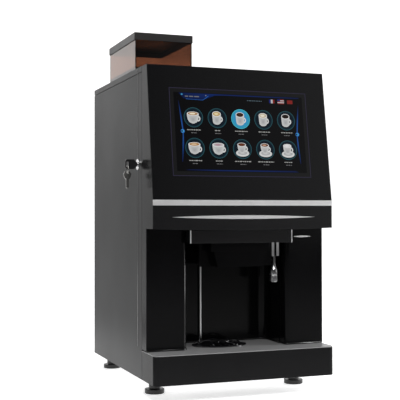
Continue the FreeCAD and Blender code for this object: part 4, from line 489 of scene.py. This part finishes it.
class Sheet:
    # flat patches on the slope, stacked in thin layers, each with its own tint
    def __init__(self):
        self.points = []
        self.faces = []
        self.tints = []

    def add(self, outline, layer, rim, middle=None, centre=None, rings=1):
        # the patch runs from its outline (ring 0) to its centre; the tint goes from rim to middle
        outline = np.asarray(outline, float)
        centre = outline.mean(axis=0) if centre is None else np.asarray(centre, float)
        middle = rim if middle is None else middle
        share = np.linspace(0, 1, rings + 1)[:, None, None]
        flat = outline[None] * (1 - share) + centre * share
        tint = np.asarray(rim)[None, None] * (1 - share) + np.asarray(middle)[None, None] * share
        count = len(outline)
        start = len(self.points)
        keep = rings * count
        flat = flat.reshape(-1, 2)[:keep]
        tints = np.repeat(tint, count, axis=1).reshape(-1, 3)[:keep]
        self.points.extend(onSlope(flat, layer).tolist())
        self.tints.extend(tints.tolist())
        if rings > 1:
            self.faces.extend(gridFaces(rings, count, True, start))
            self.points.extend(onSlope(centre[None], layer).tolist())
            self.tints.append(list(middle))
            inner = start + keep - count
            self.faces.extend([[inner + k, inner + (k + 1) % count, start + keep] for k in range(count)])
        else:
            self.faces.append(list(range(start, start + count)))

    def band(self, outer, inner, layer, outerTint, innerTint=None):
        # a ring between two outlines with equal counts of points
        outer, inner = np.asarray(outer, float), np.asarray(inner, float)
        start = len(self.points)
        for flat, tint in ((outer, outerTint), (inner, innerTint or outerTint)):
            self.points.extend(onSlope(flat, layer).tolist())
            self.tints.extend([list(tint)] * len(flat))
        self.faces.extend(gridFaces(2, len(outer), True, start))

    def piece(self, name, paint, slot):
        mesh = meshFrom(name, self.points, self.faces, smooth=False)
        layer = mesh.color_attributes.new("tint", "FLOAT_COLOR", "POINT")
        tints = np.ones((len(self.tints), 4))
        tints[:, :3] = self.tints
        layer.data.foreach_set("color", tints.ravel())
        newPiece(name, mesh, "door", slot, paint)


def ellipse(x, y, rx, ry, count=40, first=0.0, last=2 * math.pi):
    angle = np.linspace(first, last, count, endpoint=abs(last - first) < 2 * math.pi - 0.01)
    return np.stack([x + rx * np.cos(angle), y + ry * np.sin(angle)], axis=-1)


def pill(x, y, length, height):
    # a bar with round ends, centred on x, y
    half = 0.5 * (length - height)
    right = ellipse(x + half, y, height / 2, height / 2, 6, -math.pi / 2, math.pi / 2)
    left = ellipse(x - half, y, height / 2, height / 2, 6, math.pi / 2, 1.5 * math.pi)
    return np.concatenate([right, left])


def rectangle(x0, x1, y0, y1):
    return np.array([(x0, y0), (x1, y0), (x1, y1), (x0, y1)], float)


tints = {
    "black": (0.0015, 0.0015, 0.002), "navy": (0.002, 0.010, 0.020), "teal": (0.020, 0.085, 0.105),
    "bright": (0.030, 0.330, 0.500), "brightRim": (0.060, 0.450, 0.560), "blue": (0.004, 0.020, 0.120),
    "deepBlue": (0.002, 0.008, 0.050), "glow": (0.020, 0.110, 0.420), "cyan": (0.080, 0.450, 0.700),
    "cup": (0.560, 0.570, 0.565), "cupShade": (0.330, 0.335, 0.345), "rim": (0.760, 0.765, 0.760),
    "word": (0.330, 0.330, 0.320), "faint": (0.150, 0.150, 0.155), "line": (0.028, 0.024, 0.050),
    "edge": (0.0080, 0.0080, 0.0085), "status": (0.090, 0.130, 0.160),
}


def cupBody(x, y, top, foot, rise, drop):
    # side view of a cup: half width top at the rim, foot at the bottom, with a rounded lower edge
    turn = np.linspace(0, 1, 22)
    width = foot + (top - foot) * (1 - turn ** 2.4) ** 0.6
    width = width * (1 - np.clip((turn - 0.86) / 0.14, 0, 1) ** 3 * 0.22)
    height = rise - (rise + drop) * turn
    right = np.stack([x + width, y + height], axis=-1)
    left = np.stack([x - width, y + height], axis=-1)[::-1]
    bottom = ellipse(x, y - drop, width[-1], foot * 0.24, 12, 0, -math.pi)
    return np.concatenate([right, bottom[1:-1], left])


def drawCup(sheet, x, y, size, look):
    # one cup picture: saucer, body, rim, drink and handle, in shares of the icon's radius
    top, foot, rise, drop, tilt = look["shape"]
    shade, light = tints["cupShade"], tints["cup"]
    if look.get("saucer"):
        sheet.add(ellipse(x, y - 0.44 * size, 0.74 * size, 0.36 * size), 3, light, tints["rim"], rings=3)
        sheet.add(ellipse(x, y - 0.40 * size, 0.52 * size, 0.22 * size), 4, shade, light, rings=3)
    middle = x - 0.06 * size
    handle = (middle + (top * 0.86) * size, y - (0.12 if not look.get("saucer") else -0.02) * size)
    bow = 0.30 * size
    sheet.band(ellipse(*handle, bow * 0.86, bow), ellipse(*handle, bow * 0.46, bow * 0.56), 5, light,
               tints["rim"])
    sheet.add(cupBody(middle, y, top * size, foot * size, rise * size, drop * size), 6, light, shade,
              centre=(middle, y - 0.25 * size), rings=4)
    rimPlace = (middle, y + rise * size)
    sheet.add(ellipse(*rimPlace, top * size, tilt * size), 7, tints["rim"], light, rings=2)
    sheet.add(ellipse(*rimPlace, top * 0.86 * size, tilt * 0.80 * size), 8, look["edge"], look["drink"],
              rings=4)
    if "foam" in look:
        sheet.add(ellipse(rimPlace[0] - 0.04 * size, rimPlace[1], top * 0.48 * size, tilt * 0.42 * size), 9,
                  look["foam"], look["foam"], rings=2)


mug = (0.47, 0.36, 0.44, 0.60, 0.28)
bowlCup = (0.64, 0.24, 0.38, 0.60, 0.21)
smallCup = (0.47, 0.20, 0.46, 0.34, 0.20)
drinks = [
    {"shape": bowlCup, "drink": (0.55, 0.42, 0.26), "edge": (0.30, 0.13, 0.04),
     "foam": (0.78, 0.70, 0.52), "label": 36},
    {"shape": mug, "drink": (0.60, 0.46, 0.22), "edge": (0.42, 0.26, 0.09), "foam": (0.70, 0.60, 0.36),
     "label": 16},
    {"shape": mug, "drink": (0.045, 0.022, 0.010), "edge": (0.030, 0.008, 0.005), "label": 34},
    {"shape": mug, "drink": (0.66, 0.60, 0.46), "edge": (0.44, 0.36, 0.24), "foam": (0.74, 0.70, 0.58),
     "label": 31},
    {"shape": mug, "drink": (0.008, 0.006, 0.005), "edge": (0.020, 0.012, 0.008), "label": 31},
    {"shape": bowlCup, "drink": (0.50, 0.30, 0.12), "edge": (0.34, 0.16, 0.05),
     "foam": (0.62, 0.45, 0.28), "label": 33},
    {"shape": bowlCup, "drink": (0.42, 0.36, 0.38), "edge": (0.46, 0.43, 0.44),
     "foam": (0.40, 0.24, 0.29), "label": 20},
    {"shape": smallCup, "drink": (0.130, 0.032, 0.010), "edge": (0.085, 0.020, 0.006), "saucer": True,
     "label": 43},
    {"shape": smallCup, "drink": (0.140, 0.045, 0.018), "edge": (0.085, 0.022, 0.008),
     "foam": (0.50, 0.30, 0.20), "saucer": True, "label": 43},
    {"shape": smallCup, "drink": (0.66, 0.66, 0.67), "edge": (0.56, 0.57, 0.58),
     "foam": (0.72, 0.72, 0.73), "saucer": True, "label": 24},
]


def wordBar(sheet, x, y, length, height, tint, seed):
    # a caption as a row of small plain dashes, without letters
    draw = np.random.default_rng(seed)
    at = x - length / 2
    end = x + length / 2
    while at < end - 2.0:
        dash = min(draw.uniform(3.6, 7.5), end - at)
        tall = height * draw.uniform(0.55, 0.72)
        sheet.add(pill(at + dash / 2, y, max(dash, tall), tall), 3, tint)
        at += dash + 0.9


def drawPicture():
    sheet = Sheet()
    half, low, high = picture["areaHalf"], picture["areaLow"], picture["areaHigh"]
    outer = picture["lineHalf"]
    wide = picture["lineWide"]
    sheet.band(rectangle(-outer, outer, picture["lineLow"], picture["lineHigh"]),
               rectangle(-outer + wide, outer - wide, picture["lineLow"] + wide, picture["lineHigh"] - wide),
               0, tints["line"])
    sheet.band(rectangle(-outer + wide, outer - wide, picture["lineLow"] + wide, picture["lineHigh"] - wide),
               rectangle(-half, half, low, high), 0, tints["edge"])
    sheet.add(rectangle(-half, half, low, high), 1, tints["black"])
    # the tab at the top left, the band beside it and the bar along the foot
    tab = [(-158, high - 2), (-146, high - 15), (-95, high - 17), (-80, high - 6), (-40, high - 4),
           (160, high - 4), (164, high - 1), (-156, high - 1)]
    sheet.add(tab, 2, tints["deepBlue"], tints["blue"], centre=(-60, high - 3), rings=3)
    tabEdge = [(-140, high - 16.6), (-96, high - 18), (-80, high - 7), (-82, high - 6.6),
               (-96.5, high - 17.2), (-140, high - 15.6)]
    sheet.add(tabEdge, 3, tints["glow"])
    sheet.add([(-150, low + 3.0), (-60, low + 1.2), (150, low + 1.2), (140, low + 4.6), (-140, low + 4.6)], 2,
              tints["deepBlue"], tints["blue"], rings=3)
    for side in (-1, 1):
        rail = [(160, 246), (157, 205), (152.5, 168), (153, 120), (157, 92), (155.4, 92), (150.2, 130),
                (149.4, 168), (152.5, 205)]
        outline = np.array(rail, float) * (side, 1)
        sheet.add(outline if side > 0 else outline[::-1], 2, tints["deepBlue"], tints["glow"],
                  centre=(side * 151.8, 166), rings=4)
        sheet.add(ellipse(side * 152, 167, 5.0, 5.0, 24), 3, tints["glow"], tints["cyan"], rings=3)
        sheet.add(ellipse(side * (152 - 1.6 * side), 167, 2.1, 2.1, 20), 4, tints["navy"])
    sheet.add(ellipse(-150, high - 5, 3.4, 2.4, 20), 4, tints["blue"], tints["cyan"], rings=3)
    sheet.add(ellipse(-88, high - 6, 2.0, 2.0, 18), 4, tints["blue"], tints["word"], rings=2)
    for place, length in ((-138, 9), (-126, 11), (-112, 13)):
        sheet.add(pill(place, high - 9.5, length, 2.6), 4, tints["faint"])
    wordBar(sheet, 40, high - 14, 40, 2.6, tints["status"], 3)
    # language buttons: three bars, stripes with a blue corner, and one plain block
    red, blue, white = (0.20, 0.015, 0.012), (0.010, 0.015, 0.130), (0.45, 0.45, 0.46)
    for place, colours in ((87.4, (blue, white, red)), (137, (red, red, red))):
        for step, colour in enumerate(colours):
            start = place - 7.5 + 5 * step
            sheet.add(rectangle(start, start + 5, high - 18, high - 8.5), 3, colour)
    for step in range(5):
        colour = (red, white)[step % 2]
        lowEdge = high - 19 + 2.4 * step
        sheet.add(rectangle(103, 121, lowEdge, lowEdge + 2.4), 3, colour)
    sheet.add(rectangle(103, 110.5, high - 12, high - 7), 4, blue)
    for index, look in enumerate(drinks):
        row, column = divmod(index, 5)
        x = picture["iconPitch"] * (column - 2)
        y = picture["iconRows"][row]
        radius = picture["iconRadius"]
        chosen = index == 2
        face = tints["bright"] if chosen else tints["navy"]
        centreTint = tints["glow"] if chosen else tints["black"]
        rim = tints["brightRim"] if chosen else tints["teal"]
        shares = (1, 0.945, 0.90, 0.87)
        circle = {share: ellipse(x, y, radius * share, radius * share, 56) for share in shares}
        sheet.add(circle[1], 1.5, face, centreTint, rings=4)
        sheet.band(circle[1], circle[0.945], 2, rim)
        sheet.band(circle[0.90], circle[0.87], 2, tuple(0.45 * part for part in rim))
        drawCup(sheet, x, y, radius * 0.96, look)
        wordBar(sheet, x, y - picture["labelDrop"], look["label"], 3.6, tints["word"], 20 + index)
        wordBar(sheet, x, y - picture["priceDrop"], 16, 2.6, tints["faint"], 40 + index)
    sheet.piece("display_picture", screenLight("displayLight", 1.0), "screen")


drawPicture()
print("display picture drawn")


ringLook = {"turns": 2.0, "wire": 0.62, "pitch": 1.05, "steps": 160, "around": 14}  # wire: its radius


def splitRing():
    # a round wire carried along two turns of a flat helix: the angle and the sideways step grow evenly
    low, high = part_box("key_ring")
    centre = 0.5 * (np.asarray(low) + np.asarray(high))
    reach = 0.5 * (high[2] - low[2]) - ringLook["wire"] * mm
    angle = np.linspace(0, ringLook["turns"] * 2 * math.pi, ringLook["steps"])
    share = angle / (ringLook["turns"] * 2 * math.pi)
    sideways = (share - 0.5) * 2 * ringLook["wire"] * mm * ringLook["pitch"]
    path = np.stack([centre[0] + sideways, centre[1] + reach * np.cos(angle),
                     centre[2] + reach * np.sin(angle)], -1)
    outward = np.stack([0 * angle, np.cos(angle), np.sin(angle)], -1)
    spin = np.linspace(0, 2 * math.pi, ringLook["around"], endpoint=False)
    radius = ringLook["wire"] * mm
    wire = (path[:, None] + radius * np.cos(spin)[None, :, None] * outward[:, None]
            + radius * np.sin(spin)[None, :, None] * np.array((1.0, 0, 0)))
    mesh = joinedMesh("split_ring", [(wire, tubeFaces(ringLook["steps"], ringLook["around"]))])
    piece = newPiece("split_ring", mesh, bodyOf["key_ring"], slotOf["key_ring"])
    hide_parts("key_ring")


splitRing()
print("split ring wound")


ribLook = {"count": 6, "start": 0.3, "swirl": 0.75, "inner": 0.16, "outer": 0.80, "rise": 7.5, "foot": 1.6,
           "wide": 3.4, "thick": 2.2, "thinEnd": 0.35, "steps": 28, "around": 14, "rim": 2.4}


def gridRibs():
    # swirling ribs on the cup grid: along each, the reach from the hub and the turn grow evenly, and the
    # height and the section follow half a wave, so the rib arches up and swells midway
    low, high = (np.asarray(corner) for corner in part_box("cup_grid"))
    middle = 0.5 * (low + high)
    reach = 0.5 * (high - low)
    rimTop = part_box("tray_cover")[1][2] + ribLook["rim"] * mm
    share = np.linspace(0, 1, ribLook["steps"])
    wave = np.sin(math.pi * share)
    far = ribLook["inner"] + (ribLook["outer"] - ribLook["inner"]) * share
    rise = (ribLook["foot"] + ribLook["rise"] * wave ** 0.8) * mm
    swell = ribLook["thinEnd"] + (1 - ribLook["thinEnd"]) * wave ** 0.5
    patches = []
    for index in range(ribLook["count"]):
        turn = 2 * math.pi * index / ribLook["count"] + ribLook["start"] + ribLook["swirl"] * share
        path = np.stack([middle[0] + reach[0] * far * np.cos(turn),
                         middle[1] + reach[1] * far * np.sin(turn), rimTop + rise], -1)
        patches.append(swept(path, ribLook["wide"] * mm * swell, ribLook["thick"] * mm * swell,
                             ribLook["around"]))
    ribGloss = glossBlack("ribGloss", (0.006, 0.006, 0.007), 0.10, 1.0, 0.05)
    newPiece("cup_grid_ribs", joinedMesh("cup_grid_ribs", patches), bodyOf["cup_grid"],
             slotOf["cup_grid"], ribGloss)


gridRibs()

sealLook = {"thick": 2.0, "gap": 0.35, "cornerSteps": 10, "wall": 2.5, "press": 0.7, "alcoveRound": 20,
            "pillarRound": 11, "pillarShare": 0.8, "slot": slotOf["foot_front_left"]}


def cornered(points, radius):
    # a level path through the points, with each inner one rounded by an arc of the given radius
    path = [np.array(points[0], float)]
    share = np.linspace(0, math.pi / 2, sealLook["cornerSteps"])
    for before, corner, after in zip(points, points[1:], points[2:]):
        before, corner, after = (np.array(place, float) for place in (before, corner, after))
        back = (before - corner) / np.linalg.norm(before - corner)
        on = (after - corner) / np.linalg.norm(after - corner)
        centre = corner + (back + on) * radius
        path += list(centre - radius * (np.outer(np.cos(share), on) + np.outer(np.sin(share), back)))
    path.append(np.array(points[-1], float))
    return np.array(path)


def bead(name, node, points, radius, wide, thick):
    # an oval bead lying on the tray cover along a level path, on the node's body
    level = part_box("tray_cover")[1][2] + thick + sealLook["gap"] * mm
    path = cornered(points, radius * mm)
    path = np.concatenate([path, np.full((len(path), 1), level)], axis=1)
    newPiece(name, joinedMesh(name, [swept(path, wide, thick)]), bodyOf[node], sealLook["slot"])


def footSeals():
    # one bead along the alcove's wall, one round each pillar's foot
    thick = sealLook["thick"] * mm
    low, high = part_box("alcove_liner")
    inset = sealLook["wall"] * mm + thick * sealLook["press"]
    left, right, rear, front = low[0] + inset, high[0] - inset, high[1] - inset, low[1]
    bead("alcove_seal", "alcove_liner", [(left, front), (left, rear), (right, rear), (right, front)],
         sealLook["alcoveRound"], thick, thick)
    for node in ("left_pillar", "right_pillar"):
        low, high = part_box(node)
        inner, outer = (low[0], high[0]) if node == "right_pillar" else (high[0], low[0])
        bead(node + "_seal", node, [(outer, low[1]), (inner, low[1]), (inner, high[1])],
             sealLook["pillarRound"], thick * sealLook["pillarShare"], thick)


lipLook = {"proud": 0.5, "deep": 1.0, "wide": 1.9, "bevel": 0.7, "past": 0.5, "lowEnd": 4}


def doorSeal():
    # a black lip with bevelled edges, carried up the left side, over the top and down the right side. It is
    # placed from the rear of door_frame's box, which is the end of the lock catch, behind the door's back
    low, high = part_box("door_frame")
    proud, deep, wide = (lipLook[part] * mm for part in ("proud", "deep", "wide"))
    rear = high[1] - wide + lipLook["past"] * mm
    flat = lipLook["bevel"] * wide
    profile = [(0.0, -wide), (proud, -flat), (proud, flat), (0.0, wide), (-deep, wide), (-deep, -wide)]
    foot = low[2] + lipLook["lowEnd"] * mm
    corners = [(low[0], foot, -1, 0), (low[0], high[2], -1, 1), (high[0], high[2], 1, 1),
               (high[0], foot, 1, 0)]
    points = np.array([[(x + out * side, rear + along, z + up * out) for out, along in profile]
                       for x, z, side, up in corners])
    mesh = joinedMesh("door_seal", [(points, tubeFaces(len(corners), len(profile)))])
    newPiece("door_seal", mesh, bodyOf["door_frame"], sealLook["slot"])


doorSeal()
footSeals()
print("grid ribs and seals made")


# the fade, left, low and high values below shape painted shade: where it lies, the floor and wall turn grey
# and their glow fades
stageLook = {
    "wide": 16.0, "front": -9.0, "back": 5.5, "wall": 6.0, "bend": 2.0, "steps": 24, "glow": 0.66,
    "pale": (0.90, 0.90, 0.90), "palest": (0.93, 0.93, 0.93), "grey": (0.32, 0.32, 0.32),
    "fadeFrom": -0.42, "fadeTo": -1.05,  # the floor greys between these depths in front
    "leftSlope": 0.1414, "leftPale": -0.545, "leftDark": -0.68,  # the line of the camera view's left edge
    "lowFrom": 0.85, "lowTo": 1.9, "lowLevel": 0.5,  # left of it, pale again by half over these depths
    "highFrom": 0.5, "highTo": 1.9,  # and wholly over these heights of the wall
}


def studio():
    # a floor that bends up into a wall behind the machine by a quarter circle
    bend = stageLook["bend"]
    turn = np.linspace(0, math.pi / 2, stageLook["steps"])
    arc = np.stack([stageLook["back"] + bend * np.sin(turn), bend - bend * np.cos(turn)], -1)
    profile = np.concatenate([[(stageLook["front"], 0.0)], arc,
                              [(stageLook["back"] + bend, stageLook["wall"])]])
    ends = np.array([-0.5, 0.5]) * stageLook["wide"]
    points = np.stack([np.repeat(ends[None], len(profile), 0), np.repeat(profile[:, :1], 2, 1),
                       np.repeat(profile[:, 1:], 2, 1)], -1)
    mesh = meshFrom("studio_floor", points, gridFaces(len(profile), 2))
    floor = bpy.data.objects.new("studio_floor", mesh)
    bpy.context.scene.collection.objects.link(floor)
    paint = Paint("paperWhiteAndPaintedShade")
    fibre = paint.noise(160, 3)
    across, depth, rise = paint.axis("X"), paint.axis("Y"), paint.axis("Z")
    near = paint.between(depth, stageLook["fadeTo"], stageLook["fadeFrom"], smooth=True)
    low = paint.between(depth, stageLook["lowFrom"], stageLook["lowTo"], stageLook["lowLevel"])
    high = paint.between(rise, stageLook["highFrom"], stageLook["highTo"], 1.0 - stageLook["lowLevel"])
    left = paint.between(across - depth * stageLook["leftSlope"], stageLook["leftPale"],
                         stageLook["leftDark"], smooth=True)
    # painted light and shade: lit is 1 where the floor is pale and glows; it falls in front, and left of the
    # camera view's left edge, where the floor is painted grey and its glow fades
    lit = near * (1.0 - left * (1.0 - low - high))
    paperAndPaintedShade = paint.mixed(lit, stageLook["grey"], paint.mixed(fibre, stageLook["pale"], stageLook["palest"]))
    mesh.materials.append(paint.finished(Base_Color=paperAndPaintedShade, Roughness=0.75 + fibre * 0.1,
                                         Emission_Color=paint.mixed(lit, (0, 0, 0), (1, 1, 1)),
                                         Emission_Strength=stageLook["glow"],
                                         Normal=paint.bumped(fibre, 0.02, 0.001)))


studio()

lamps = {
    "overhead": {"at": (-0.3, 0.2, 3.4), "to": (0, 0, 0.4), "size": (3.4, 3.0), "power": 34},
    "leftBox": {"at": (-3.2, 0.6, 2.6), "to": (0, 0.2, 0.9), "size": (1.8, 1.2), "power": 9},
    "rightStrip": {"at": (2.5, -0.75, 0.9), "to": (0, 0, 0.5), "size": (0.9, 2.2), "power": 55},
    "wallWash": {"at": (0, 3.2, 4.6), "to": (0, 7.5, 1.0), "size": (8.0, 2.0), "power": 50},
    "highFront": {"at": (-0.9, -2.6, 3.4), "to": (0, 0, 0.4), "size": (1.8, 1.4), "power": 78},
}


def softLight(name, look):
    light = bpy.data.lights.new(name, "AREA")
    light.shape = "RECTANGLE"
    light.size, light.size_y = look["size"]
    light.energy = look["power"]
    lamp = bpy.data.objects.new(name, light)
    lamp.location = look["at"]
    aim = Vector(look["to"]) - Vector(look["at"])
    lamp.rotation_euler = aim.to_track_quat("-Z", "Y").to_euler()
    bpy.context.scene.collection.objects.link(lamp)


for name, look in lamps.items():
    softLight(name, look)

airLook = {"stops": [(0.0, 0.15), (0.38, 0.06), (0.62, 0.04), (0.74, 0.34), (0.92, 0.80)]}


def studioAir():
    # soft light from all round, dim in front and brighter to the right, by direction
    world = bpy.data.worlds.new("studioAir")
    world.use_nodes = True
    bpy.context.scene.world = world
    tree = world.node_tree
    side = tree.nodes.new("ShaderNodeSeparateXYZ")
    tree.links.new(tree.nodes.new("ShaderNodeTexCoord").outputs["Generated"], side.inputs["Vector"])
    spread = tree.nodes.new("ShaderNodeMapRange")
    spread.inputs["From Min"].default_value = -1.0
    tree.links.new(side.outputs["X"], spread.inputs["Value"])
    ramp = tree.nodes.new("ShaderNodeValToRGB")
    while len(ramp.color_ramp.elements) < len(airLook["stops"]):
        ramp.color_ramp.elements.new(0.5)
    for element, (place, level) in zip(ramp.color_ramp.elements, airLook["stops"]):
        element.position = place
        element.color = (level, level, level, 1)
    tree.links.new(spread.outputs["Result"], ramp.inputs["Fac"])
    tree.links.new(ramp.outputs["Color"], tree.nodes["Background"].inputs["Color"])


studioAir()
bpy.context.scene.view_settings.view_transform = "Standard"

cameraLook = {"at": (-0.8630, -2.3404, 0.4409), "turn": 20.307, "pitch": 0.901, "roll": 0.106, "lens": 82.95}


def placeCamera():
    # the turn is to the right of +Y, the pitch is upwards
    lens = bpy.data.cameras.new("lens")
    lens.sensor_width = 36.0
    lens.lens = cameraLook["lens"]
    camera = bpy.data.objects.new("camera", lens)
    turn = Matrix.Rotation(math.radians(-cameraLook["turn"]), 4, "Z")
    pitch = Matrix.Rotation(math.radians(90 + cameraLook["pitch"]), 4, "X")
    roll = Matrix.Rotation(math.radians(-cameraLook["roll"]), 4, "Z")
    camera.matrix_world = Matrix.Translation(cameraLook["at"]) @ turn @ pitch @ roll
    bpy.context.scene.collection.objects.link(camera)
    bpy.context.scene.camera = camera


placeCamera()
print("studio ready")
